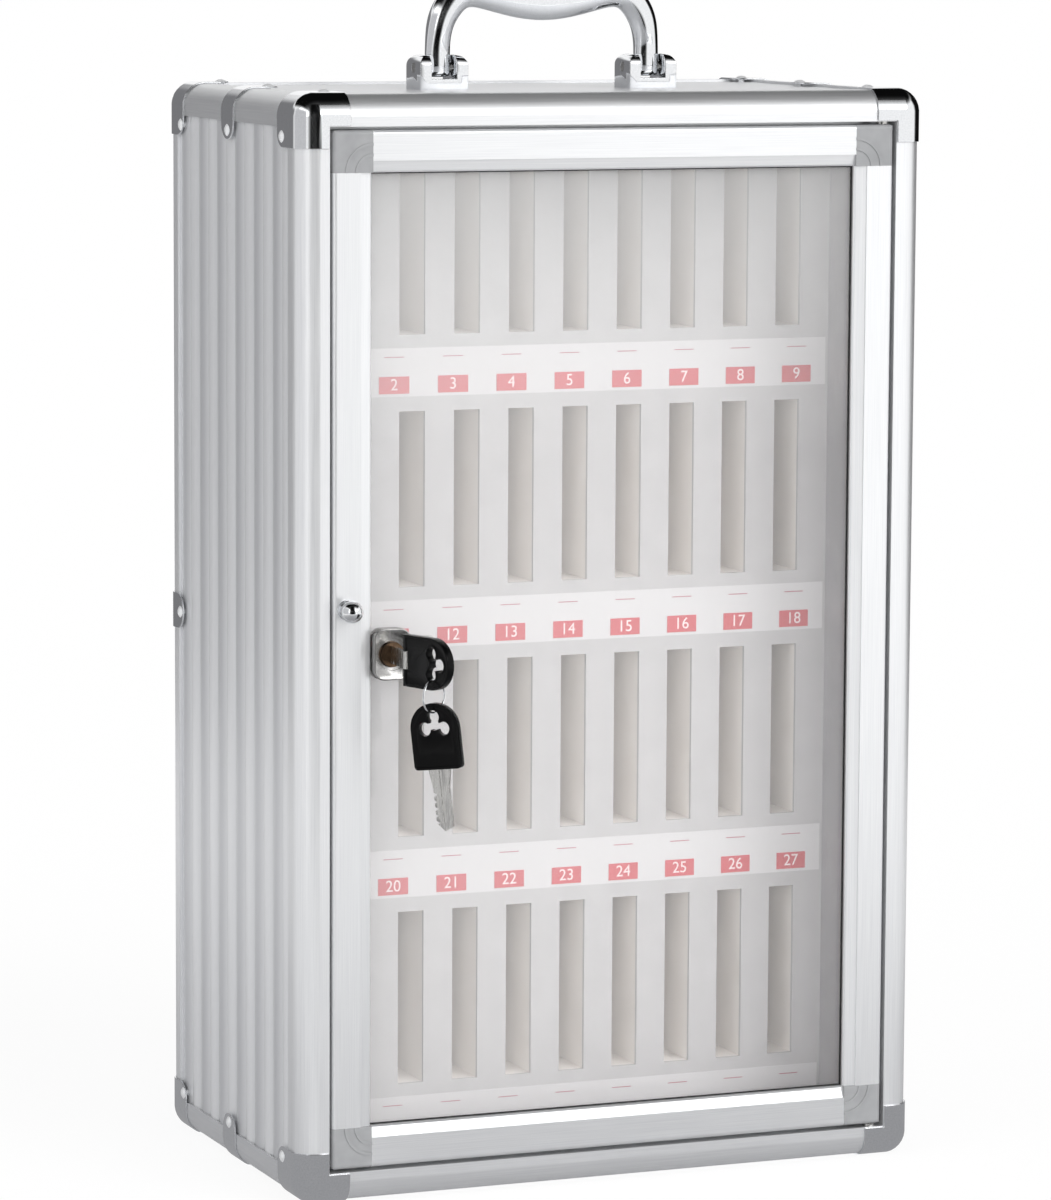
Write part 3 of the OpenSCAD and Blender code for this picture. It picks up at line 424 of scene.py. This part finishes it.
def cast_acrylic():
    """Clear acrylic with a share of white matte as a painted reflection, which lamps shine through."""
    material, tree = new_finish("clear_cast_acrylic")
    dust = grain(tree, 3)
    body = add_node(tree, "BsdfPrincipled", {
        "Base Color": colour("#fafafa"),
        "Roughness": 0.0,
        "IOR": 1.49,
        "Transmission Weight": 1,
        "Normal": relief(tree, dust, 0.0004),
    })
    # White matte as painted reflection: it lifts the darks behind the window.
    painted_reflection = add_node(tree, "BsdfDiffuse", {"Color": colour("#ffffff")})
    place = add_node(tree, "TexCoord")
    parts = add_node(tree, "SeparateXYZ", {0: place.outputs["Object"]})
    reflection_share_across = add_node(tree, "MapRange", {
        "Value": parts.outputs["X"], "From Min": -WINDOW_HALF, "From Max": WINDOW_HALF,
        "To Min": REFLECTION_HAZE_LEFT, "To Max": REFLECTION_HAZE_RIGHT,
    })
    reflection_share_top = add_node(tree, "MapRange", {
        "Value": parts.outputs["Z"], "From Min": REFLECTION_TOP_FROM, "From Max": REFLECTION_TOP_TO, "To Min": 0, "To Max": REFLECTION_HAZE_TOP,
    })
    share = add_node(tree, "Math", {0: reflection_share_across.outputs[0], 1: reflection_share_top.outputs[0]}, operation="ADD")
    with_painted_reflection = add_node(tree, "MixShader", {0: share.outputs[0], 1: body.outputs[0], 2: painted_reflection.outputs[0]})
    clear = add_node(tree, "BsdfTransparent", {"Color": colour("#f6f6f6")})
    rays = add_node(tree, "LightPath")
    shadow = rays.outputs["Is Shadow Ray"]
    mixed = add_node(tree, "MixShader", {0: shadow, 1: with_painted_reflection.outputs[0], 2: clear.outputs[0]})
    output = add_node(tree, "OutputMaterial")
    tree.links.new(mixed.outputs[0], output.inputs["Surface"])
    return material


dress(cast_acrylic(), "door_glass")

# %% [markdown]
# ## Helpers for pieces
# A new piece starts as a primitive at its size and place. Its parts are then picked in code, by their place or
# the way they face, and shaped with the same operators as by hand. A finished piece keeps its place in its mesh.

# %% Helpers for pieces
import bmesh


def deselect():
    """Clears the selection, because operators act on all that is selected."""
    bpy.ops.object.select_all(action="DESELECT")


def slab(low, high):
    """A block between two corners, in metres."""
    low, high = Vector(low), Vector(high)
    deselect()
    bpy.ops.mesh.primitive_cube_add(size=1, location=(low + high) / 2)
    bpy.context.object.scale = high - low
    bpy.ops.object.transform_apply(location=True, rotation=True, scale=True)
    return bpy.context.object


def rod(radius, start, end, sides=48):
    """A round rod between two points, in metres."""
    start, end = Vector(start), Vector(end)
    deselect()
    bpy.ops.mesh.primitive_cylinder_add(
        vertices=sides, radius=radius, depth=(end - start).length, location=(start + end) / 2,
        rotation=(end - start).to_track_quat("Z", "Y").to_euler(),
    )
    bpy.ops.object.transform_apply(location=True, rotation=True, scale=True)
    return bpy.context.object


def pick(kind, test):
    """Selects the vertices, edges or faces that pass the test, in edit mode."""
    bpy.ops.mesh.select_mode(type=kind)
    bpy.ops.mesh.select_all(action="DESELECT")
    mesh = bmesh.from_edit_mesh(bpy.context.object.data)
    parts = {"VERT": mesh.verts, "EDGE": mesh.edges, "FACE": mesh.faces}[kind]
    for part in parts:
        if test(part):
            part.select_set(True)
    mesh.select_flush_mode()
    bmesh.update_edit_mesh(bpy.context.object.data)


def runs_along(edge, axis, test=lambda middle: True):
    """True for a straight edge along this axis whose middle passes the test."""
    way = (edge.verts[1].co - edge.verts[0].co).normalized()
    return abs(way[axis]) > 0.999 and test((edge.verts[0].co + edge.verts[1].co) / 2)


def carve(piece, tool, way="DIFFERENCE"):
    """Cuts the tool out of the piece, or joins it on, and removes the tool."""
    deselect()
    bpy.context.view_layer.objects.active = piece
    change = piece.modifiers.new("carve", "BOOLEAN")
    change.object = tool
    change.operation = way
    change.solver = "EXACT"
    bpy.ops.object.modifier_apply(modifier=change.name)
    bpy.data.objects.remove(tool)
    return piece


def soften(piece, width, steps=2, angle=40):
    """Rounds the edges sharper than this many degrees by this many millimetres."""
    deselect()
    bpy.context.view_layer.objects.active = piece
    change = piece.modifiers.new("soften", "BEVEL")
    change.width = width / 1000
    change.segments = steps
    change.limit_method = "ANGLE"
    change.angle_limit = math.radians(angle)
    bpy.ops.object.modifier_apply(modifier=change.name)
    return piece


def copy_of(piece):
    """The same piece again, with a mesh of its own."""
    twin = piece.copy()
    twin.data = piece.data.copy()
    scene.collection.objects.link(twin)
    return twin


def settle(piece, name, material, body, slot, *replaced):
    """Names a finished piece, gives it its finish and ties it to its body."""
    deselect()
    piece.select_set(True)
    bpy.context.view_layer.objects.active = piece
    bpy.ops.object.transform_apply(location=True, rotation=True, scale=True)
    bpy.ops.object.shade_smooth_by_angle(angle=math.radians(35))
    piece.name = piece.data.name = name
    piece.data.materials.clear()
    piece.data.materials.append(material)
    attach(piece, body)
    if replaced:
        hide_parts(*replaced)
    size = [round(1000 * side, 1) for side in piece.dimensions]
    print(name, "in mm:", size, "faces:", len(piece.data.polygons))
    return piece


# %% [markdown]
# ## Bows of the keys
# A bow is a black moulded grip with a flat end and a round end, a raised rim round a sunk field, and a trefoil
# hole with a collar. It starts as a slab. The two far edges are bevelled by nearly half its width, which makes
# the round end. The two broad faces are inset twice, the second time inwards, and four rods join and then cut the
# trefoil. Each collar is a hair lower than the last, so that no two of their faces lie in one plane.

# %% One bow, lying along X from its flat end
BOW_LONG, BOW_WIDE, BOW_THICK = 0.032, 0.025, 0.004
BOW_CORNER, ROUND_SHARE = 0.002, 0.996
RIM_WIDE, STEP_WIDE, FIELD_DEEP = 0.0012, 0.0003, 0.0004
COLLAR_WIDE, COLLAR_SINK, COLLAR_STEP = 0.001, 0.0001, 0.00001
LOBE_R = 0.0033
TOP_LOBE = 0.0253
LOBES = [(0.0196, -0.005, LOBE_R), (0.0196, 0.005, LOBE_R), (TOP_LOBE, 0, LOBE_R), (0.02175, 0, 0.003)]

bow = slab((0, -BOW_THICK / 2, -BOW_WIDE / 2), (BOW_LONG, BOW_THICK / 2, BOW_WIDE / 2))
bpy.ops.object.mode_set(mode="EDIT")
pick("EDGE", lambda edge: runs_along(edge, 1, lambda middle: middle.x > BOW_LONG / 2))
bpy.ops.mesh.bevel(offset=BOW_WIDE / 2 * ROUND_SHARE, segments=16, affect="EDGES")
pick("EDGE", lambda edge: runs_along(edge, 1, lambda middle: middle.x < 0.001))
bpy.ops.mesh.bevel(offset=BOW_CORNER, segments=4, affect="EDGES")
bpy.ops.mesh.select_all(action="SELECT")
bpy.ops.mesh.remove_doubles(threshold=0.0002)
pick("FACE", lambda face: abs(face.normal.y) > 0.9)
bpy.ops.mesh.inset(thickness=RIM_WIDE)
bpy.ops.mesh.inset(thickness=STEP_WIDE, depth=-FIELD_DEEP)
bpy.ops.object.mode_set(mode="OBJECT")
for step, (x, z, radius) in enumerate(LOBES):
    rise = BOW_THICK / 2 - COLLAR_SINK - step * COLLAR_STEP
    carve(bow, rod(radius + COLLAR_WIDE, (x, -rise, z), (x, rise, z)), "UNION")
for x, z, radius in LOBES:
    carve(bow, rod(radius, (x, -BOW_THICK, z), (x, BOW_THICK, z)))
print("bow faces:", len(bow.data.polygons))

# %% [markdown]
# ## Two keys from one bow
# The bow of the key in the lock folds on a pin. A round knuckle is joined to its flat end and a notch is cut
# there for the tang of the blade. At rest it is turned 20 degrees from straight out. The other bow stays
# whole. It hangs on the ring by the wall of its top hole, turned and tilted as in the photograph.

# %% The folding bow
BOW_TURN = math.radians(20 - 90)
KNUCKLE_PLAY = 0.00005
NOTCH_FROM, NOTCH_TO = (-0.006, -0.006, -0.0045), (0.0024, 0.006, 0.0045)
BOW_EDGE = 0.25

spare = copy_of(bow)
knuckle_end = BOW_WIDE / 2 - KNUCKLE_PLAY
carve(bow, rod(BOW_THICK / 2 - KNUCKLE_PLAY, (0, 0, -knuckle_end), (0, 0, knuckle_end)), "UNION")
carve(bow, slab(NOTCH_FROM, NOTCH_TO))
soften(bow, BOW_EDGE)
pivot = joints["bow_fold"]
bow.matrix_world = Matrix.Translation(pivot) @ Matrix.Rotation(BOW_TURN, 4, "Z")
settle(bow, "key_bow_moulded", bow_plastic, "bow", "black_plastic", "key_bow")

# %% The hanging bow
SPARE_TURN, SPARE_TILT = math.radians(-48), math.radians(-7)
SPARE_SEAT = 0.0014
SPARE_HANG = TOP_LOBE + LOBE_R - SPARE_SEAT

soften(spare, BOW_EDGE)
spare_place = (
    Matrix.Translation(joints["spare_swing"])
    @ Matrix.Rotation(SPARE_TURN, 4, "Z")
    @ Matrix.Rotation(SPARE_TILT, 4, "Y")
    @ Matrix.Translation((0, 0, -SPARE_HANG))
)
spare.matrix_world = spare_place @ Matrix.Rotation(math.radians(-90), 4, "Y")
settle(spare, "spare_bow_moulded", bow_plastic, "spare", "black_plastic", "spare_bow")

# %% [markdown]
# ## Blade of the hanging key
# The blade is stamped and then milled: teeth on one side and a guide groove down each face. The CAD outline is
# right, so a copy of it is merged into a clean solid, a groove is cut in each face and the edges are softened.

# %% Hanging blade
def clean_copy(node):
    """A copy of a CAD piece, merged into one clean solid."""
    twin = copy_of(nodes[node])
    twin.parent = None
    for key in list(twin.keys()):
        del twin[key]
    deselect()
    twin.select_set(True)
    bpy.context.view_layer.objects.active = twin
    bpy.ops.object.mode_set(mode="EDIT")
    bpy.ops.mesh.select_all(action="SELECT")
    bpy.ops.mesh.remove_doubles(threshold=1e-6)
    bpy.ops.mesh.dissolve_limited(angle_limit=math.radians(0.5))
    bpy.ops.object.mode_set(mode="OBJECT")
    return twin


GROOVE_LEFT, GROOVE_RIGHT = -0.0002, 0.0012
GROOVE_OUT, GROOVE_HALF = 0.00095, 0.00035
GROOVE_LOW, GROOVE_HIGH = -0.026, -0.0005

blade = clean_copy("spare_blade")
for side in (-1, 1):
    tool = slab((GROOVE_LEFT, side * GROOVE_OUT - GROOVE_HALF, GROOVE_LOW),
                (GROOVE_RIGHT, side * GROOVE_OUT + GROOVE_HALF, GROOVE_HIGH))
    tool.data.transform(spare_place)
    carve(blade, tool)
soften(blade, 0.12, steps=1)
settle(blade, "spare_blade_milled", cut_steel, "spare", "steel", "spare_blade")

# %% [markdown]
# ## Housing of the lock
# The housing is a die-cast block with rounded corners. Its face is stepped: a raised edge, a flat field and a
# round dish where the core sits. A slab is bevelled at four corners, its face is inset and sunk, and rods cut
# the dish and the bore. The barrel behind it, which goes through the window, is joined on.

# %% Lock housing
HOUSING_CORNER, HOUSING_EDGE = 0.005, 0.2
FACE_EDGE, FACE_STEP, FACE_DEEP = 0.0007, 0.0005, 0.0003
BARREL_R, DISH_R, BORE_R = 0.008, 0.0078, 0.00605
DISH_DEEP = 0.0008
BEYOND = 0.001

lock_axis = joints["lock_turn"]
low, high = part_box("lock_housing")
glass_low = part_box("door_glass")[0]
housing = slab((low.x, low.y, low.z), (high.x, glass_low.y, high.z))
bpy.ops.object.mode_set(mode="EDIT")
pick("EDGE", lambda edge: runs_along(edge, 1))
bpy.ops.mesh.bevel(offset=HOUSING_CORNER, segments=8, affect="EDGES")
pick("FACE", lambda face: face.normal.y < -0.9)
bpy.ops.mesh.inset(thickness=FACE_EDGE)
bpy.ops.mesh.inset(thickness=FACE_STEP, depth=-FACE_DEEP)
bpy.ops.object.mode_set(mode="OBJECT")


def on_axis(y):
    """The point of the lock's axis at this depth."""
    return lock_axis.x, y, lock_axis.z


carve(housing, rod(BARREL_R, on_axis(glass_low.y - BEYOND), on_axis(high.y)), "UNION")
carve(housing, rod(DISH_R, on_axis(low.y - BEYOND), on_axis(low.y + DISH_DEEP), 64))
carve(housing, rod(BORE_R, on_axis(low.y - BEYOND), on_axis(high.y + BEYOND), 64))
soften(housing, HOUSING_EDGE)
settle(housing, "lock_housing_cast", satin_nickel, "door", "chrome", "lock_housing")

# %% [markdown]
# ## Brackets of the handle
# Each bracket is a die-cast fork with a domed top. A slab's four top edges are bevelled wide, which domes it. A
# slab then cuts the slot for the handle's foot, a rod cuts the bore for the pin, and all the edges are softened.

# %% Handle brackets
DOME = 0.0054
SLOT_HALF, SLOT_FLOOR = 0.00675, 0.004
PIN_BORE = 0.00255
PAST = 0.01
fold_high = joints["handle_fold"].z
case_top = fold_high - 0.0095


def casting(node, name):
    """A bracket in the box of its CAD piece."""
    low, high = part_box(node)
    middle = (low + high) / 2
    piece = slab(low, high)
    bpy.ops.object.mode_set(mode="EDIT")
    pick("EDGE", lambda edge: min(vertex.co.z for vertex in edge.verts) > high.z - 0.0001)
    bpy.ops.mesh.bevel(offset=DOME, segments=8, affect="EDGES")
    bpy.ops.object.mode_set(mode="OBJECT")
    carve(piece, slab((middle.x - SLOT_HALF, low.y - PAST, case_top + SLOT_FLOOR),
                      (middle.x + SLOT_HALF, high.y + PAST, high.z + PAST)))
    carve(piece, rod(PIN_BORE, (low.x - PAST, middle.y, fold_high), (high.x + PAST, middle.y, fold_high), 40))
    soften(piece, 0.9, steps=3, angle=50)
    settle(piece, name, chrome, "case", "chrome", node)


casting("handle_bracket_left", "bracket_cast_left")
casting("handle_bracket_right", "bracket_cast_right")

# %% [markdown]
# ## Handle
# The handle is a zinc casting: flat feet on the pivots, arms that sweep inwards and a grip that swells in the
# middle. One round section is extruded from station to station up the right arm to the middle. At each stop it
# is turned level, resized and tilted to follow the sweep. A mirror then makes the other half. Subdivision
# smooths the whole and draws it in a little, so every section is made 2 % larger.

# %% Handle
GRIP = [
    # sideways, up, half thickness, half depth in mm, tilt in degrees
    (56.5, 4.6, 6.2, 2.6, 0),
    (56.5, 6.2, 6.5, 4.5, 0),
    (56.5, 9.5, 6.5, 5.1, 0),
    (56.5, 14.0, 6.5, 5.0, 0),
    (56.5, 20.5, 6.4, 5.1, 0),
    (55.9, 28.0, 6.6, 6.4, 8),
    (54.2, 34.4, 7.2, 6.8, 20),
    (50.6, 40.6, 7.6, 7.0, 37),
    (45.6, 45.3, 7.4, 7.0, 56),
    (39.4, 47.4, 8.0, 7.0, 74),
    (29.0, 46.6, 9.3, 7.0, 84),
    (15.0, 44.9, 11.0, 7.0, 87),
    (0.0, 44.1, 11.7, 7.0, 90),
]
SHELL_GAIN = 1.02


def station(row):
    """Centre, half sizes and tilt of one stop, in metres and radians."""
    across, height, thick, deep, tilt = row
    return (Vector((across / 1000, 0, case_top + height / 1000)),
            (thick * SHELL_GAIN / 1000, deep * SHELL_GAIN / 1000), math.radians(tilt))


centre, half, tilt = station(GRIP[0])
deselect()
bpy.ops.mesh.primitive_circle_add(vertices=20, radius=1, fill_type="NGON", location=centre)
handle = bpy.context.object
handle.scale = (half[0], half[1], 1)
bpy.ops.object.transform_apply(location=True, rotation=True, scale=True)
bpy.ops.object.mode_set(mode="EDIT")
bpy.ops.mesh.select_all(action="SELECT")
for row in GRIP[1:]:
    new_centre, new_half, new_tilt = station(row)
    bpy.ops.mesh.extrude_region_move(TRANSFORM_OT_translate={"value": new_centre - centre})
    bpy.ops.transform.rotate(value=-tilt, orient_axis="Y", center_override=new_centre)
    growth = (new_half[0] / half[0], new_half[1] / half[1], 1)
    bpy.ops.transform.resize(value=growth, center_override=new_centre)
    bpy.ops.transform.rotate(value=new_tilt, orient_axis="Y", center_override=new_centre)
    centre, half, tilt = new_centre, new_half, new_tilt
bpy.ops.mesh.delete(type="ONLY_FACE")
bpy.ops.object.mode_set(mode="OBJECT")
other = handle.modifiers.new("other half", "MIRROR")
other.use_clip = True
other.merge_threshold = 0.0004
bpy.ops.object.modifier_apply(modifier=other.name)
bpy.ops.object.mode_set(mode="EDIT")
bpy.ops.mesh.select_all(action="SELECT")
bpy.ops.mesh.normals_make_consistent(inside=False)
bpy.ops.object.mode_set(mode="OBJECT")
smooth = handle.modifiers.new("smooth", "SUBSURF")
smooth.levels = smooth.render_levels = 2
bpy.ops.object.modifier_apply(modifier=smooth.name)
settle(handle, "handle_cast", chrome, "handle", "chrome", "handle")

# %% [markdown]
# ## Numbers and lines on the labels
# Each red plate carries its number, and a short line for a name stands above it on the white sheet. A number is
# a text object that is turned to face the door and made a mesh. All the numbers become one piece, and so do the
# lines: one thin line is made and copied to every place.

# %% Numbers 1 to 36
COLUMNS, ROWS = 9, 4
LABEL_PITCH, ROW_PITCH = 0.0312, 0.1255
PLATE_HIGH, DIGIT_HIGH = 0.0085, 0.0082
INK = 0.00006
plate_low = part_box("number_plates")[0]


def plate_centre(column, row):
    """Middle of a number plate, rows counted from the bottom."""
    return Vector(((column - (COLUMNS - 1) / 2) * LABEL_PITCH, plate_low.y,
                   plate_low.z + PLATE_HIGH / 2 + row * ROW_PITCH))


def join(pieces):
    """Makes one piece of several."""
    deselect()
    for piece in pieces:
        piece.select_set(True)
    bpy.context.view_layer.objects.active = pieces[0]
    bpy.ops.object.join()
    return pieces[0]


numbers = []
for row in range(ROWS):
    for column in range(COLUMNS):
        deselect()
        place = plate_centre(column, row)
        front = place - Vector((0, INK / 2, 0))
        bpy.ops.object.text_add(location=front, rotation=(math.radians(90), 0, 0))
        digits = bpy.context.object
        digits.data.body = str((ROWS - 1 - row) * COLUMNS + column + 1)
        digits.data.size = DIGIT_HIGH
        digits.data.align_x = "CENTER"
        digits.data.align_y = "CENTER"
        digits.data.extrude = INK
        bpy.ops.object.convert(target="MESH")
        bpy.ops.object.transform_apply(location=True, rotation=True, scale=True)
        numbers.append(bpy.context.object)
settle(join(numbers), "printed_numbers", pale_ink, "case", "white_label")

# %% Lines for names
LINE_LONG, LINE_THICK, LINE_UP = 0.0105, 0.0005, 0.0136
first = plate_centre(0, 0)
first.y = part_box("label_sheets")[0].y
line = slab(first + Vector((-LINE_LONG / 2, -INK, LINE_UP)),
            first + Vector((LINE_LONG / 2, INK, LINE_UP + LINE_THICK)))
lines = [line]
for row in range(ROWS):
    for column in range(COLUMNS):
        if row or column:
            twin = copy_of(line)
            twin.data.transform(Matrix.Translation((column * LABEL_PITCH, 0, row * ROW_PITCH)))
            lines.append(twin)
settle(join(lines), "name_lines", faded_ink, "case", "red_label")

# %% [markdown]
# ## The floor of the studio
# The floor is plain and pale and runs to the horizon. To the eye, to mirrors and through glass it is mostly a
# white glow, so that it shows as a white background. The rest is matte and keeps the box's soft shadow.

# %% Floor
FLOOR_RADIUS = 120
FLOOR_GLOW, GLOW_SHARE = 1.04, 0.85

bpy.ops.mesh.primitive_circle_add(vertices=96, radius=FLOOR_RADIUS, fill_type="NGON", location=(0, 0, 0))
floor = bpy.context.object
floor.name = "studio_floor"
material, tree = new_finish("pale_studio_floor")
soft = add_node(tree, "BsdfDiffuse", {"Color": colour("#f6f6f6")})
glow = add_node(tree, "Emission", {"Color": colour("#ffffff"), "Strength": FLOOR_GLOW})
rays = add_node(tree, "LightPath")
eye, mirror, glass = (rays.outputs["Is " + kind + " Ray"] for kind in ("Camera", "Glossy", "Transmission"))
seen = add_node(tree, "Math", {0: eye, 1: mirror}, operation="ADD")
seen = add_node(tree, "Math", {0: seen.outputs[0], 1: glass}, operation="ADD")
share = add_node(tree, "Math", {0: seen.outputs[0], 1: GLOW_SHARE}, operation="MULTIPLY")
mixed = add_node(tree, "MixShader", {0: share.outputs[0], 1: soft.outputs[0], 2: glow.outputs[0]})
output = add_node(tree, "OutputMaterial")
tree.links.new(mixed.outputs[0], output.inputs["Surface"])
floor.data.materials.append(material)
floor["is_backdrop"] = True
print("floor radius in m:", FLOOR_RADIUS)

# %% [markdown]
# ## The light of the studio
# The sky is white for the eye, for mirrors and for glass, and dimmer for matte surfaces. Three broad suns light
# those as well: one from the front right and above, one low from the front, and one from the left. A sun's
# width is the angle that it fills in the sky, and a wide one gives soft shadows.

# %% Sky
SKY_LIGHT = 0.5
world = bpy.data.worlds.new("studio_sky")
scene.world = world
world.use_nodes = True
tree = world.node_tree
tree.nodes.clear()
white = add_node(tree, "Background", {"Color": colour("#ffffff"), "Strength": 1})
dim = add_node(tree, "Background", {"Color": colour("#ffffff"), "Strength": SKY_LIGHT})
rays = add_node(tree, "LightPath")
matte = rays.outputs["Is Diffuse Ray"]
mixed = add_node(tree, "MixShader", {0: matte, 1: white.outputs[0], 2: dim.outputs[0]})
output = add_node(tree, "OutputWorld")
tree.links.new(mixed.outputs[0], output.inputs["Surface"])
print("sky light on matte surfaces:", SKY_LIGHT)

# %% Suns
def add_sun(name, strength, width, towards):
    """A sun of this width in degrees that stands in this direction."""
    data = bpy.data.lights.new(name, "SUN")
    data.energy = strength
    data.angle = math.radians(width)
    lamp = bpy.data.objects.new(name, data)
    scene.collection.objects.link(lamp)
    lamp.matrix_world = Vector(towards).to_track_quat("Z", "Y").to_matrix().to_4x4()
    print(name, "strength:", strength)


add_sun("key_sun", 1.2, 40, (0.5, -1.0, 0.75))
add_sun("front_sun", 0.8, 30, (-0.35, -1.0, 0.12))
add_sun("side_sun", 0.8, 60, (-1.0, -0.35, 0.4))

# %% [markdown]
# ## Cards for the mirrors
# Mirrors need something dark to show their shape, so black and grey cards with soft edges stand round the box and
# hang over it. Only mirrored rays see them: one at the camera, one overhead, two at the left, one at the right
# and one on the floor. The one on the floor is painted shade: a grey sheet that stands for the floor's shade
# round the box, as mirrors see it.

# %% Cards for the mirrors
def add_card(name, shade, place, turn, size, fades):
    """A flat card that only mirrored rays see. It lies level until it is turned about X, then about Z. The
    fades are the shares of its width and its length over which it thins out: left, right, low, high."""
    deselect()
    angles = [math.radians(angle) for angle in turn]
    bpy.ops.mesh.primitive_plane_add(size=1, location=place, rotation=angles)
    card = bpy.context.object
    card.scale = (*size, 1)
    card.name = name
    material, tree = new_finish(name)
    where = add_node(tree, "TexCoord")
    parts = add_node(tree, "SeparateXYZ", {0: where.outputs["Generated"]})
    strength = 1
    for axis, fade, start, way in (("X", fades[0], 0, 1), ("X", fades[1], 1, -1),
                                   ("Y", fades[2], 0, 1), ("Y", fades[3], 1, -1)):
        ramp = add_node(tree, "MapRange", {
            "Value": parts.outputs[axis], "From Min": start, "From Max": start + way * fade,
        }, interpolation_type="SMOOTHSTEP")
        product = add_node(tree, "Math", {0: ramp.outputs[0], 1: strength}, operation="MULTIPLY")
        strength = product.outputs[0]
    clear = add_node(tree, "BsdfTransparent")
    glow = add_node(tree, "Emission", {"Color": colour(shade), "Strength": 1})
    mixed = add_node(tree, "MixShader", {0: strength, 1: clear.outputs[0], 2: glow.outputs[0]})
    output = add_node(tree, "OutputMaterial")
    tree.links.new(mixed.outputs[0], output.inputs["Surface"])
    card.data.materials.append(material)
    for kind in ("camera", "diffuse", "transmission", "volume_scatter", "shadow"):
        setattr(card, "visible_" + kind, False)
    card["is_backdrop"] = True
    print(name, "in m:", size)


def add_upright_card(name, shade, bearing, distance, width, height, fades):
    """A card that stands on the floor, its bearing counted from the front towards the right."""
    angle = math.radians(bearing)
    place = (distance * math.sin(angle), -distance * math.cos(angle), height / 2)
    add_card(name, shade, place, (90, 0, bearing), (width, height), fades)


add_upright_card("card_at_camera", "#0c0c0c", -20, 1.1, 1.4, 2.4, (0.3, 0.3, 0.01, 0.01))
add_upright_card("card_behind_left", "#7c7c7e", -150, 1.4, 2.0, 1.2, (0.1, 0.2, 0.01, 0.2))
add_upright_card("card_left", "#c8c8ca", -86, 1.4, 1.9, 1.4, (0.2, 0.1, 0.01, 0.2))
add_upright_card("card_right", "#101010", 112, 1.3, 2.0, 1.6, (0.2, 0.2, 0.01, 0.2))
add_card("card_overhead", "#0c0c0c", (0, -1.75, 2.2), (0, 0, 0), (6, 9.9), (0.2, 0.2, 0.66, 0.06))
# Painted shade: the floor's shade round the box, seen only in mirrors.
add_card("card_painted_floor_shade", "#9c9c9e", (0, 0, 0.001), (0, 0, 0), (2.8, 2.9), (0.42, 0.42, 0.42, 0.42))

# %% [markdown]
# ## Size of the dressed model
# The size of the box round the dressed model is printed. The dressed model has to stay inside the CAD model's
# box.

# %% Size of the dressed model
low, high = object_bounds()
print("visual box in mm:", [round(1000 * side, 1) for side in high - low])
